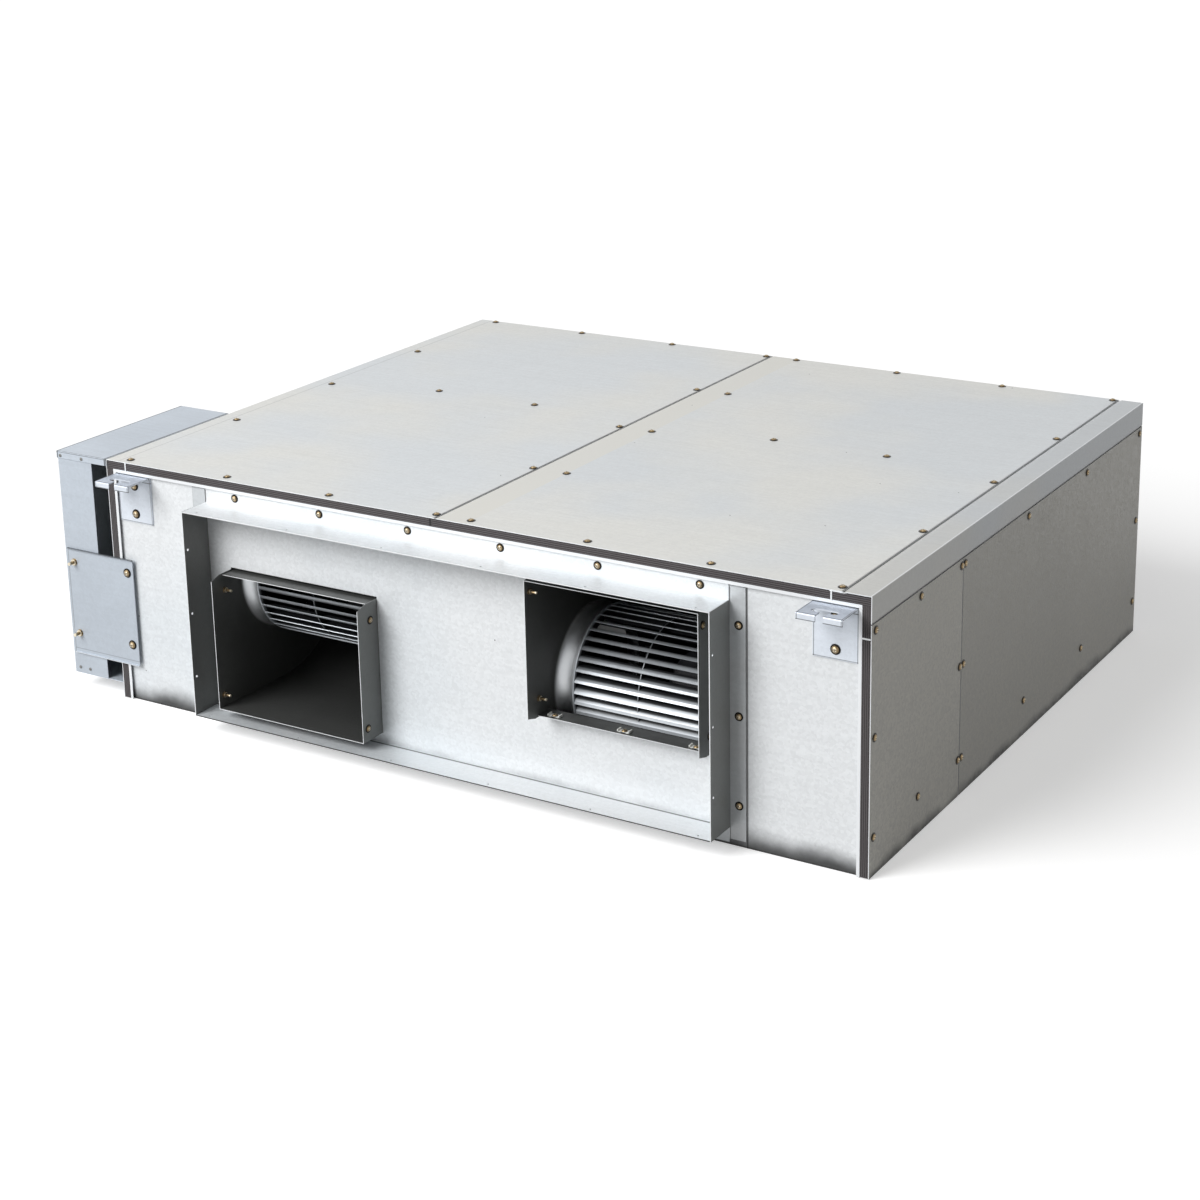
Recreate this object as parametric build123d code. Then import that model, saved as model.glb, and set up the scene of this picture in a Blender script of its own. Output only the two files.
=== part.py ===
from build123d import *

import math
import os

# Ducted air conditioner indoor unit, for hanging above a ceiling.
# Millimetres, +Z up. The origin is the centre of the casing's underside. Air is drawn in through
# the rear (+Y), crosses the tilted coil and leaves through two blower outlets at the front (-Y).
# The electrical box, the pipes and the drain are on the left side (-X).

# Casing
casing_width = 1380.0
casing_depth = 1100.0
casing_height = 420.0
panel_gauge = 1.2
bend_radius = 2.5
foam_thickness = 13.0
fit_gap = 0.3
seam_gap = 1.8
edge_drop = 40.0
rail_top_width = 42.0
rail_lip_width = 22.0
top_seam_x = -30.0
side_seam_from_front = 316.0
floor_flange_height = 25.0

# Front plate, set back inside its own folded rim
plate_recess = 5.0
rim_width = 5.0
opening_clearance = 0.5
lip_gap = 5.0

# Discharge duct frame of four angles
frame_width = 951.0
frame_centre_x = -7.5
frame_below_outlets = 16.0
frame_above_outlets = 9.0
frame_reach = 60.0
frame_flange_width = 27.0
frame_foot = 20.0
frame_head = 23.0
frame_screw_pitch = 169.0
frame_screw_end_inset = 34.5
frame_screw_inset = 16.0
angle_gauge = 1.5
duct_hole_radius = 2.0
duct_hole_inset = 8.0
duct_hole_pitch = 108.0

# Suction duct frame at the rear
suction_side_margin = 120.0
suction_foam_margin = 31.0
suction_reach = 30.0
suction_flange_width = 22.0

# Hanger brackets
hanger_width = 70.0
hanger_plate_height = 81.0
hanger_reach = 55.0
hanger_lip_height = 10.0
hanger_drop = 21.0
hanger_inset = 20.5
hanger_gauge = 2.0
hanger_slot_length = 40.0
hanger_slot_width = 12.0
hanger_slot_from_edge = 20.0
hanger_bolt_drops = (18.0, 66.0)

# Blowers: one outlet low and one outlet high, each with its own motor
blower_pitch = 597.0
blower_centre_x = 2.5
blower_width = 290.0
blower_gauge = 1.0
blower_setback = 134.0
blower_mid_drop = 4.0
blower_clearance = 50.0
axis_offset = 38.0
collar_reach = 45.0
collar_rise = 25.0
collar_corner_run = 20.0
collar_corner_drop = 6.0
scroll_step = 26.0
scroll_flange = 6.0
cutoff_rise = 22.0
cutoff_front_inset = 27.0
cutoff_wheel_gap = 9.0
cutoff_leg = 22.0
cutoff_bend = 5.0

# Inlet rings pressed into the blower side plates
inlet_lap = 2.0
inlet_bell_radius = 22.0
inlet_wheel_gap = 3.0

# Fan wheels
wheel_scroll_gap = 24.0
blade_depth = 17.0
wheel_width = 222.0
wheel_ring_thickness = 3.0
wheel_disc_thickness = 1.5
blade_count = 40
blade_lean = 7.0
blade_inlet_turn = 1.2
blade_gauge_angle = 0.6
blade_edge_inset = 1.0
blade_root = 1.0
hub_radius = 20.0
hub_length = 30.0
hub_front = 6.0
shaft_radius = 8.0
shaft_clearance = 0.05
shaft_length = 96.0

# Motors and the spiders that hold them in the inlets
motor_air_gap = 36.0
motor_front_gap = 20.0
motor_shield_step = 8.0
motor_boss_radius = 20.0
motor_boss_length = 7.0
motor_bore_depth = 66.0
spider_gauge = 3.0
spider_disc_inset = 14.0
spider_arm_width = 22.0
spider_lap = 16.0

# Coil, tilted from the vertical
coil_tilt = 32.0
coil_thickness = 66.0
coil_floor_gap = 10.7
coil_ceiling_gap = 6.7
coil_left_margin = 90.0
coil_right_margin = 105.0
coil_centre_y = 150.0
coil_end_gauge = 1.5
coil_end_margin = 4.0
coil_rows = 3
coil_row_pitch = 22.0
bend_count = 6
bend_pitch = 60.0
tube_radius = 4.75
tube_bend_radius = 12.5

# Refrigerant parts beside the coil
header_radius = 14.0
header_length = 260.0
header_offset = 14.0
pipe_space_inset = 44.0
header_stub_count = 5
header_stub_pitch = 50.0
gas_pipe_radius = 11.1
gas_pipe_rise = 24.0
liquid_pipe_radius = 4.75
pipe_stub_length = 60.0
stub_panel_gap = 6.0
stub_step = 0.8
valve_y = 72.0
valve_body_radius = 12.0
valve_body_height = 46.0
valve_head_radius = 19.0
valve_head_height = 40.0
valve_below_middle = 16.0
liquid_pipe_rise = 22.0
valve_tail_length = 18.0
distributor_height = 26.0
distributor_top_radius = 6.0
distributor_foot_radius = 13.0
feeder_count = 4
feeder_radius = 2.0
feeder_spread = 8.0
feeder_step = 14.0
feeder_first_drop = 22.0
feeder_bend = 6.0

# Drain pan and its socket
pan_left_margin = 49.0
pan_right_margin = 69.0
pan_front_y = -30.0
pan_rear_y = 300.0
pan_height = 45.0
pan_gauge = 1.5
drain_radius = 16.6
drain_bore_radius = 13.0
drain_flange_radius = 22.0
drain_flange_thickness = 3.0
drain_reach = 40.0
drain_y = 200.0

# Electrical box on the left side
box_width = 109.0
box_depth = 311.0
box_bottom_z = 26.0
box_face_width = 75.0
box_lid_drop = 12.0
box_rear_flange = 14.0
cover_left_overlap = 7.0
cover_right_overlap = 42.0
cover_bottom_z = 64.0
cover_height = 187.0
cover_fold = 4.0
terminal_length = 90.0
terminal_height = 34.0
terminal_depth = 28.0
terminal_count = 6
board_length = 180.0
board_height = 130.0
board_gauge = 1.6
board_standoff = 12.0
board_post_radius = 3.0
board_rear_gap = 20.0
board_above_middle = 34.0

# Screw heads
screw_across_flats = 9.0
screw_head_height = 3.6
bolt_across_flats = 13.0
bolt_head_height = 6.0
top_screw_inset = 8.0
top_screw_front = 16.0
top_strip_width = 55.0
cross_support_y = 54.0
side_screw_inset = 13.0
side_screw_drop = 12.0
side_screw_bottom = 60.0
collar_screw_front = 14.0
collar_screw_drop = 4.0
collar_screw_low_front = 32.0
collar_screw_low_rise = 20.0
lip_screw_front = 8.0
lip_screw_inset = 25.0
cover_screw_rise = 36.0
cover_screw_drop = 24.0

# Places worked out from the sizes above
half_width = casing_width / 2
half_depth = casing_depth / 2
front_y = -half_depth
rear_y = half_depth
inner_x = half_width - panel_gauge
foam_x = inner_x - foam_thickness
ceiling_z = casing_height - panel_gauge
foam_ceiling_z = ceiling_z - foam_thickness
foam_floor_z = panel_gauge + foam_thickness
plate_front_y = front_y + plate_recess
plate_back_y = plate_front_y + panel_gauge
rear_plate_y = rear_y - panel_gauge
rail_seam_x = half_width - rail_top_width
side_seam_y = front_y + side_seam_from_front
blower_mid_z = casing_height / 2 - blower_mid_drop
outlet_half_span = casing_height / 2 - blower_clearance
outlet_floor_z = blower_mid_z - outlet_half_span
frame_left_x = frame_centre_x - frame_width / 2
frame_right_x = frame_centre_x + frame_width / 2
frame_bottom_z = outlet_floor_z - frame_below_outlets
frame_top_z = blower_mid_z + outlet_half_span + frame_above_outlets
frame_front_y = plate_front_y - frame_reach
suction_width = casing_width - 2 * suction_side_margin
hanger_top_z = casing_height - hanger_drop
axis_y = front_y + blower_setback
scroll_drop = outlet_half_span + axis_offset
scroll_first_radius = scroll_drop - 2.5 * scroll_step
low_axis_z = blower_mid_z + axis_offset
high_axis_z = blower_mid_z - axis_offset
left_blower_x = blower_centre_x - blower_pitch / 2
right_blower_x = blower_centre_x + blower_pitch / 2
collar_front_u = blower_setback + collar_reach
wheel_radius = scroll_first_radius - wheel_scroll_gap
wheel_inner_radius = wheel_radius - blade_depth
cutoff_u = wheel_radius + cutoff_wheel_gap
inlet_radius = wheel_inner_radius + inlet_lap
motor_radius = inlet_radius - motor_air_gap
spider_disc_radius = motor_radius - spider_disc_inset
spider_reach = inlet_radius + inlet_bell_radius + spider_lap
coil_left_x = coil_left_margin - half_width
coil_right_x = half_width - coil_right_margin
coil_low_z = foam_floor_z + coil_floor_gap
coil_high_z = foam_ceiling_z - coil_ceiling_gap
coil_centre_z = (coil_low_z + coil_high_z) / 2
coil_rise = (coil_high_z - coil_low_z) / math.cos(math.radians(coil_tilt))
coil_height = coil_rise - coil_thickness * math.tan(math.radians(coil_tilt))
pipe_space_x = pipe_space_inset - half_width
gas_pipe_z = coil_centre_z + gas_pipe_rise
valve_base_z = coil_centre_z - valve_below_middle
distributor_top_z = valve_base_z - valve_tail_length
box_left_x = -half_width - box_width
box_rear_y = front_y + box_depth
board_post_height = board_standoff - board_gauge


# Helpers for folded sheet and plain forms
def block(x_range, y_range, z_range):
    size = [high - low for low, high in (x_range, y_range, z_range)]
    middle = [(high + low) / 2 for low, high in (x_range, y_range, z_range)]
    return Pos(*middle) * Box(*size)


def along_x(face, x_low, x_high):
    """Extrude a face drawn in (y, z) from x_low to x_high."""
    plane = Plane(origin=(x_low, 0, 0), x_dir=(0, 1, 0), z_dir=(1, 0, 0))
    return extrude(plane * face, amount=x_high - x_low, dir=(1, 0, 0))


def along_y(face, y_low, y_high):
    """Extrude a face drawn in (x, z) from y_low to y_high."""
    plane = Plane(origin=(0, y_low, 0), x_dir=(1, 0, 0), z_dir=(0, -1, 0))
    return extrude(plane * face, amount=y_high - y_low, dir=(0, 1, 0))


def along_z(face, z_low, z_high):
    """Extrude a face drawn in (x, y) from z_low to z_high."""
    return extrude(Pos(0, 0, z_low) * face, amount=z_high - z_low, dir=(0, 0, 1))


def folded(points, gauge, side=Side.RIGHT, radius=bend_radius):
    """Section of a sheet bent along a line of points, with the gauge to one side of the line."""
    line = FilletPolyline(*points, radius=radius).wire()
    return Face(line.offset_2d(gauge, kind=Kind.ARC, side=side, closed=True))


def outline(edges):
    return Face(Wire.combine(edges)[0])


def round_bar(start, end, radius):
    """Straight round bar between two points on a line along one axis."""
    direction = Vector(*end) - Vector(*start)
    plane = Plane(origin=start, z_dir=direction)
    return extrude(plane * Circle(radius), amount=direction.length)


def hex_head(place, axis, across_flats, height):
    """Six-sided screw head seated on a face at a place, pointing along an axis."""
    plane = Plane(origin=place, z_dir=axis)
    return extrude(plane * RegularPolygon(across_flats / math.sqrt(3), 6), amount=height)


def spaced(first, last, count):
    return [first + (last - first) * index / (count - 1) for index in range(count)]


# Casing panels
def make_bottom_panel():
    front = plate_back_y
    rear = rear_plate_y
    section = folded(
        [(front, floor_flange_height), (front, 0), (rear, 0), (rear, floor_flange_height)],
        panel_gauge,
        side=Side.LEFT,
    )
    panel = along_x(section, -inner_x, inner_x)
    for side in (-1, 1):
        corner = sorted((side * inner_x, side * (foam_x - fit_gap)))
        panel -= block(corner, (front, rear), (panel_gauge, floor_flange_height))
    return panel


def make_top_panel_left():
    section = folded(
        [
            (top_seam_x - seam_gap / 2, casing_height),
            (-half_width, casing_height),
            (-half_width, casing_height - edge_drop),
        ],
        panel_gauge,
        side=Side.LEFT,
    )
    return along_y(section, front_y, rear_y)


def make_top_panel_right():
    return block(
        (top_seam_x + seam_gap / 2, rail_seam_x - seam_gap),
        (front_y, rear_y),
        (ceiling_z, casing_height),
    )


def make_top_rail_right():
    """Corner rail with a lip joggled one gauge down under the edge of the top panel."""
    lip_start = rail_seam_x - rail_lip_width
    joggle = rail_seam_x + 2 * bend_radius
    section = folded(
        [
            (lip_start, ceiling_z),
            (rail_seam_x, ceiling_z),
            (joggle, casing_height),
            (half_width, casing_height),
            (half_width, casing_height - edge_drop),
        ],
        panel_gauge,
        radius=panel_gauge,
    )
    return along_y(section, front_y, rear_y)


def make_side_panel(side, y_low, y_high, pipe_holes=()):
    """Flat side panel below the corner fold; side is -1 for left and 1 for right."""
    x_range = sorted((side * half_width, side * inner_x))
    panel = block(x_range, (y_low, y_high), (0, casing_height - edge_drop - seam_gap))
    for hole_y, hole_z, radius in pipe_holes:
        panel -= round_bar((x_range[0] - 1, hole_y, hole_z), (x_range[1] + 1, hole_y, hole_z), radius)
    return panel


def outlet_z_range(flip):
    """Height range of a blower opening: low for the upright blower, high for the turned one."""
    low = outlet_floor_z - blower_gauge - opening_clearance
    high = low_axis_z + cutoff_rise + blower_gauge + lip_gap
    if flip > 0:
        return low, high
    return 2 * blower_mid_z - high, 2 * blower_mid_z - low


def make_front_plate():
    """Fan deck sheet with a rim folded forward and inward round its top and sides."""
    edge_x = foam_x - fit_gap
    top_z = foam_ceiling_z - fit_gap
    plate = block((-edge_x, edge_x), (plate_front_y, plate_back_y), (0, top_z))
    for side in (-1, 1):
        outer = sorted((side * edge_x, side * (edge_x - panel_gauge)))
        lip = sorted((side * edge_x, side * (edge_x - rim_width)))
        plate += block(outer, (front_y, plate_front_y), (0, top_z))
        plate += block(lip, (front_y, front_y + panel_gauge), (0, top_z))
    plate += block((-edge_x, edge_x), (front_y, plate_front_y), (top_z - panel_gauge, top_z))
    plate += block((-edge_x, edge_x), (front_y, front_y + panel_gauge), (top_z - rim_width, top_z))
    for centre_x, flip in ((left_blower_x, 1), (right_blower_x, -1)):
        half_opening = blower_width / 2 + opening_clearance
        plate -= block(
            (centre_x - half_opening, centre_x + half_opening),
            (plate_front_y, plate_back_y),
            outlet_z_range(flip),
        )
    return plate


def make_rear_panel():
    edge_x = foam_x - fit_gap
    panel = block((-edge_x, edge_x), (rear_plate_y, rear_y), (0, foam_ceiling_z - fit_gap))
    panel -= block(
        (-suction_width / 2, suction_width / 2),
        (rear_plate_y, rear_y),
        suction_z_range(),
    )
    return panel


def suction_z_range():
    return foam_floor_z + suction_foam_margin, foam_ceiling_z - suction_foam_margin


def make_suction_frame():
    """One-piece rectangular duct flange round the suction opening."""
    low, high = suction_z_range()
    middle = (low + high) / 2

    def ring(width, height, gauge):
        return Rectangle(width, height) - Rectangle(width - 2 * gauge, height - 2 * gauge)

    wall = Pos(0, middle) * ring(suction_width, high - low, angle_gauge)
    flange = Pos(0, middle) * ring(
        suction_width + 2 * suction_flange_width,
        high - low + 2 * suction_flange_width,
        suction_flange_width + angle_gauge,
    )
    return along_y(wall, rear_y, rear_y + suction_reach) + along_y(flange, rear_y, rear_y + angle_gauge)


# Foam lining
def make_foam_top():
    foam = block(
        (bend_radius - inner_x, inner_x),
        (front_y, rear_y),
        (foam_ceiling_z, ceiling_z),
    )
    lip = block(
        (rail_seam_x - rail_lip_width - fit_gap, inner_x),
        (front_y, rear_y),
        (ceiling_z - panel_gauge - fit_gap, ceiling_z),
    )
    return foam - lip


def make_foam_side(side, pipe_holes=()):
    x_range = sorted((side * inner_x, side * foam_x))
    foam = block(x_range, (front_y, rear_y), (panel_gauge, foam_ceiling_z - fit_gap))
    for hole_y, hole_z, radius in pipe_holes:
        foam -= round_bar((x_range[0] - 1, hole_y, hole_z), (x_range[1] + 1, hole_y, hole_z), radius)
    return foam


def make_foam_floor():
    return block(
        (-foam_x + fit_gap, foam_x - fit_gap),
        (plate_back_y + panel_gauge + bend_radius, rear_plate_y - panel_gauge - bend_radius),
        (panel_gauge, foam_floor_z),
    )


# Discharge duct frame
def duct_holes(solid, centres, axis):
    """Cut a row of screw holes through a duct wall; axis is 0 for X and 2 for Z."""
    for centre in centres:
        low = list(centre)
        high = list(centre)
        low[axis] -= 2 * angle_gauge
        high[axis] += 2 * angle_gauge
        solid -= round_bar(low, high, duct_hole_radius)
    return solid


def make_frame_upright(side):
    """Left or right angle of the duct frame, with its flange turned outward."""
    wall_x = frame_right_x if side > 0 else frame_left_x
    section = folded(
        [
            (wall_x, frame_front_y),
            (wall_x, plate_front_y),
            (wall_x + side * frame_flange_width, plate_front_y),
        ],
        angle_gauge,
        side=Side.LEFT if side < 0 else Side.RIGHT,
        radius=angle_gauge,
    )
    low_z = frame_bottom_z - frame_foot
    high_z = frame_top_z + frame_head
    upright = along_z(section, low_z, high_z)
    for z_range in ((low_z, frame_bottom_z - angle_gauge), (frame_top_z + angle_gauge, high_z)):
        upright -= block(
            (wall_x - angle_gauge, wall_x + angle_gauge),
            (frame_front_y, plate_front_y - 2 * angle_gauge),
            z_range,
        )
    middle = (frame_bottom_z + frame_top_z) / 2
    centres = [
        (wall_x, frame_front_y + duct_hole_inset, middle + step * duct_hole_pitch)
        for step in (-1, 0, 1)
    ]
    return duct_holes(upright, centres, 0)


def make_frame_beam(top):
    """Top or bottom angle of the duct frame, between the two uprights."""
    wall_z = frame_top_z if top else frame_bottom_z
    turn = 1 if top else -1
    section = folded(
        [
            (frame_front_y, wall_z),
            (plate_front_y, wall_z),
            (plate_front_y, wall_z + turn * frame_flange_width),
        ],
        angle_gauge,
        side=Side.LEFT if top else Side.RIGHT,
        radius=angle_gauge,
    )
    beam = along_x(section, frame_left_x + fit_gap, frame_right_x - fit_gap)
    reach = (frame_right_x - frame_left_x) / 2 - 3 * duct_hole_inset
    centres = [
        (frame_centre_x + reach * share, frame_front_y + duct_hole_inset, wall_z)
        for share in spaced(-1, 1, 6)
    ]
    return duct_holes(beam, centres, 2)


# Hanger brackets
def make_hanger(side, front):
    """Bracket folded from one plate: face plate, shelf with a keyed slot, and two short lips."""
    face_y = plate_front_y if front else rear_y
    out = -1 if front else 1
    edge_y = face_y + out * hanger_reach
    section = folded(
        [
            (face_y, hanger_top_z - hanger_plate_height),
            (face_y, hanger_top_z),
            (edge_y, hanger_top_z),
            (edge_y, hanger_top_z - hanger_lip_height),
        ],
        hanger_gauge,
        side=Side.LEFT if front else Side.RIGHT,
    )
    centre_x = side * (half_width - hanger_inset - hanger_width / 2)
    bracket = along_x(section, centre_x - hanger_width / 2, centre_x + hanger_width / 2)
    slot_y = edge_y - out * hanger_slot_from_edge
    slot = Pos(centre_x, slot_y) * SlotOverall(hanger_slot_length, hanger_slot_width)
    entry_low, entry_high = sorted((slot_y, edge_y + out))
    bracket -= along_z(slot, hanger_top_z - 2 * hanger_gauge, hanger_top_z + hanger_gauge)
    bracket -= block(
        (centre_x - hanger_slot_width / 2, centre_x + hanger_slot_width / 2),
        (entry_low, entry_high),
        (hanger_top_z - 2 * hanger_lip_height, hanger_top_z + hanger_gauge),
    )
    return bracket


# Blowers
class Blower:
    """Places of one blower, drawn as u forward and v up from the fan axis, turned over if flip is -1."""

    def __init__(self, centre_x, flip):
        self.x = centre_x
        self.flip = flip
        self.axis_z = low_axis_z if flip > 0 else high_axis_z

    def at(self, u, v):
        return axis_y - u, self.axis_z + self.flip * v

    def arc(self, centre, radius, first, last):
        """Arc about a centre in (u, v) between two angles in degrees."""
        points = []
        for angle in (first, (first + last) / 2, last):
            turn = math.radians(angle)
            points.append(self.at(centre[0] + radius * math.cos(turn), centre[1] + radius * math.sin(turn)))
        return ThreePointArc(*points)

    def line(self, start, end):
        return Line(self.at(*start), self.at(*end))


def scroll_arcs(blower, extra, start_v):
    """The scroll's three quarter arcs, whose centres step round a small square, from cutoff to floor."""
    half_step = scroll_step / 2
    centres = [(-half_step, half_step), (-half_step, -half_step), (half_step, -half_step)]
    radii = [scroll_first_radius + index * scroll_step + extra for index in range(3)]
    first_angle = math.degrees(math.asin((start_v - half_step) / radii[0]))
    limits = [(first_angle, 90), (90, 180), (180, 270)]
    arcs = [blower.arc(c, r, *span) for c, r, span in zip(centres, radii, limits)]
    start = (centres[0][0] + radii[0] * math.cos(math.radians(first_angle)), start_v)
    return arcs, start


def make_scroll(blower):
    """Scroll sheet from the cutoff over the top and rear to the straight outlet floor."""
    start_v = cutoff_rise + cutoff_leg
    inner, inner_start = scroll_arcs(blower, 0, start_v)
    outer, outer_start = scroll_arcs(blower, blower_gauge, start_v)
    half_step = scroll_step / 2
    floor_in = (half_step, -scroll_drop)
    floor_out = (half_step, -scroll_drop - blower_gauge)
    front_in = (collar_front_u, -scroll_drop)
    front_out = (collar_front_u, -scroll_drop - blower_gauge)
    edges = inner + outer + [
        blower.line(inner_start, outer_start),
        blower.line(floor_in, front_in),
        blower.line(front_in, front_out),
        blower.line(front_out, floor_out),
    ]
    half_inside = blower_width / 2 - blower_gauge
    return along_x(outline(edges), blower.x - half_inside, blower.x + half_inside)


def side_outline(blower):
    """Outline of a blower side plate: the flanged scroll and the collar wall."""
    arcs, start = scroll_arcs(blower, scroll_flange, collar_rise)
    bottom = -scroll_drop - blower_gauge
    flange_end = (scroll_step / 2, -scroll_drop - scroll_flange)
    corners = [
        start,
        (collar_front_u - collar_corner_run, collar_rise),
        (collar_front_u, collar_rise - collar_corner_drop),
        (collar_front_u, bottom),
        (wheel_radius, bottom),
        flange_end,
    ]
    lines = [blower.line(a, b) for a, b in zip(corners, corners[1:])]
    return outline(arcs + lines)


def make_blower_side(blower, side):
    """Side plate of a blower with its inlet ring, spun from the same sheet."""
    outer_x = blower.x + side * blower_width / 2
    inner_face_x = outer_x - side * blower_gauge
    plate = along_x(side_outline(blower), *sorted((outer_x, inner_face_x)))
    bell_radius = inlet_radius + inlet_bell_radius
    tip_x = blower.x + side * (wheel_width / 2 + inlet_wheel_gap)
    centre = (outer_x - side * inlet_bell_radius, bell_radius)

    def quarter(radius):
        middle = radius / math.sqrt(2)
        start = (centre[0] + side * radius, centre[1])
        through = (centre[0] + side * middle, centre[1] - middle)
        return ThreePointArc(start, through, (centre[0], centre[1] - radius))

    face_arc = quarter(inlet_bell_radius)
    back_arc = quarter(inlet_bell_radius - blower_gauge)
    edges = [
        face_arc,
        back_arc,
        Line(face_arc @ 0, back_arc @ 0),
        Line(face_arc @ 1, (tip_x, inlet_radius)),
        Line((tip_x, inlet_radius), (tip_x, inlet_radius + blower_gauge)),
        Line((tip_x, inlet_radius + blower_gauge), back_arc @ 1),
    ]
    axis = Axis((0, axis_y, blower.axis_z), (1, 0, 0))
    section = Plane(origin=(0, axis_y, blower.axis_z), x_dir=(1, 0, 0), z_dir=(0, -1, 0)) * outline(edges)
    ring = revolve(section, axis, 360)
    hole = round_bar(
        (blower.x, axis_y, blower.axis_z),
        (outer_x + side, axis_y, blower.axis_z),
        bell_radius,
    )
    return (plate - hole) + ring


def make_cutoff_lip(blower):
    """Folded cutoff piece: a lip in the outlet and a leg that the scroll starts from."""
    points = [
        blower.at(collar_front_u - cutoff_front_inset, cutoff_rise),
        blower.at(cutoff_u, cutoff_rise),
        blower.at(cutoff_u, cutoff_rise + cutoff_leg),
    ]
    side = Side.RIGHT if blower.flip < 0 else Side.LEFT
    section = folded(points, blower_gauge, side=side, radius=cutoff_bend)
    half_inside = blower_width / 2 - blower_gauge
    return along_x(section, blower.x - half_inside, blower.x + half_inside)


def blade_section(blower, turn):
    """Forward-curved blade, its curve taken as two flats, starting at an angle."""

    def polar(radius, angle):
        whole = math.radians(turn + angle)
        return blower.at(radius * math.cos(whole), radius * math.sin(whole))

    inner = wheel_inner_radius - blade_root
    outer = wheel_radius - blade_edge_inset
    middle = (inner + outer) / 2
    front = [polar(inner, 0), polar(middle, blade_inlet_turn), polar(outer, blade_lean)]
    back = [
        polar(outer, blade_lean + blade_gauge_angle),
        polar(middle, blade_inlet_turn + blade_gauge_angle),
        polar(inner, blade_gauge_angle),
    ]
    return Polygon(*front, *back, align=None).face()


def make_fan_wheel(blower):
    """Double-inlet wheel: two end rings, a centre disc with its hub, and forward-curved blades."""
    centre = (axis_y, blower.axis_z)
    half = wheel_width / 2
    ring = Pos(*centre) * (Circle(wheel_radius) - Circle(wheel_inner_radius))
    disc = Pos(*centre) * (Circle(wheel_inner_radius) - Circle(hub_radius - blade_root))
    hub = Pos(*centre) * (Circle(hub_radius) - Circle(shaft_radius + shaft_clearance))
    pieces = [
        along_x(ring, blower.x - half, blower.x - half + wheel_ring_thickness),
        along_x(ring, blower.x + half - wheel_ring_thickness, blower.x + half),
        along_x(disc, blower.x - wheel_disc_thickness / 2, blower.x + wheel_disc_thickness / 2),
        along_x(hub, blower.x + hub_front - hub_length, blower.x + hub_front),
    ]
    reach = half - wheel_ring_thickness / 2
    for index in range(blade_count):
        section = blade_section(blower, 360 * index / blade_count)
        pieces.append(along_x(section, blower.x - reach, blower.x + reach))
    return pieces[0].fuse(*pieces[1:])


def make_shaft(blower):
    start = (blower.x + hub_front - hub_length, axis_y, blower.axis_z)
    end = (start[0] + shaft_length, axis_y, blower.axis_z)
    return round_bar(start, end, shaft_radius)


def make_motor(blower):
    """Motor body with stepped end shields, a bearing boss and the bore that its shaft runs in."""
    front_x = blower.x + motor_front_gap
    rear_x = blower.x + blower_width / 2
    boss_x = front_x - motor_boss_length
    start = (boss_x, axis_y, blower.axis_z)
    body = round_bar((front_x, axis_y, blower.axis_z), (rear_x, axis_y, blower.axis_z), motor_radius)
    body = chamfer(body.edges().filter_by(GeomType.CIRCLE), motor_shield_step)
    body += round_bar(start, (front_x + 1, axis_y, blower.axis_z), motor_boss_radius)
    bore_end = (boss_x + motor_bore_depth, axis_y, blower.axis_z)
    return body - round_bar(start, bore_end, shaft_radius + shaft_clearance)


def make_motor_bracket(blower):
    """Flat spider across the inlet: a centre disc and four arms fixed to the side plate."""
    arms = Circle(spider_disc_radius)
    for angle in (45, -45):
        arms += Rot(0, 0, angle) * Rectangle(2 * spider_reach, spider_arm_width)
    spider = Pos(axis_y, blower.axis_z) * arms
    start_x = blower.x + blower_width / 2
    return along_x(spider, start_x, start_x + spider_gauge)


# Coil and refrigerant parts
def coil_place(across, up):
    """Point (y, z) in the coil's own section: across its rows and up its face."""
    tilt = math.radians(coil_tilt)
    return (
        coil_centre_y + across * math.cos(tilt) + up * math.sin(tilt),
        coil_centre_z - across * math.sin(tilt) + up * math.cos(tilt),
    )


def coil_rectangle(margin):
    across = coil_thickness / 2 + margin
    up = coil_height / 2 + margin
    corners = [(-across, -up), (across, -up), (across, up), (-across, up)]
    return [coil_place(*corner) for corner in corners]


def make_coil_fins():
    return along_x(Polygon(*coil_rectangle(0), align=None).face(), coil_left_x, coil_right_x)


def make_coil_end(left):
    """End plate of the coil, with a foot that stands in the drain pan."""
    corners = coil_rectangle(coil_end_margin)
    floor = foam_floor_z + fit_gap + pan_gauge
    low_front, low_rear, high_rear, high_front = corners
    foot_rear = (high_rear[0], floor)
    foot_front = (low_front[0], floor)
    face = Polygon(foot_front, foot_rear, high_rear, high_front, low_front, align=None).face()
    outer_x = coil_left_x - coil_end_gauge if left else coil_right_x + coil_end_gauge
    inner_face = coil_left_x if left else coil_right_x
    return along_x(face, *sorted((outer_x, inner_face)))


def make_return_bends():
    """Return bends at the right end: half rings that each join two tubes."""
    bends = []
    face_x = coil_right_x + coil_end_gauge
    for row in range(coil_rows - 1):
        across = (row - (coil_rows - 2) / 2) * coil_row_pitch
        for index in range(bend_count):
            up = (index - (bend_count - 1) / 2) * bend_pitch
            start = coil_place(across, up - tube_bend_radius)
            end = coil_place(across, up + tube_bend_radius)
            path = ThreePointArc(
                (face_x, *start),
                (face_x + tube_bend_radius, *coil_place(across, up)),
                (face_x, *end),
            )
            section = Plane(origin=(face_x, *start), z_dir=(1, 0, 0)) * RegularPolygon(tube_radius, 8)
            bends.append(sweep(section, path=path))
    return Compound(children=bends)


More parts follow.
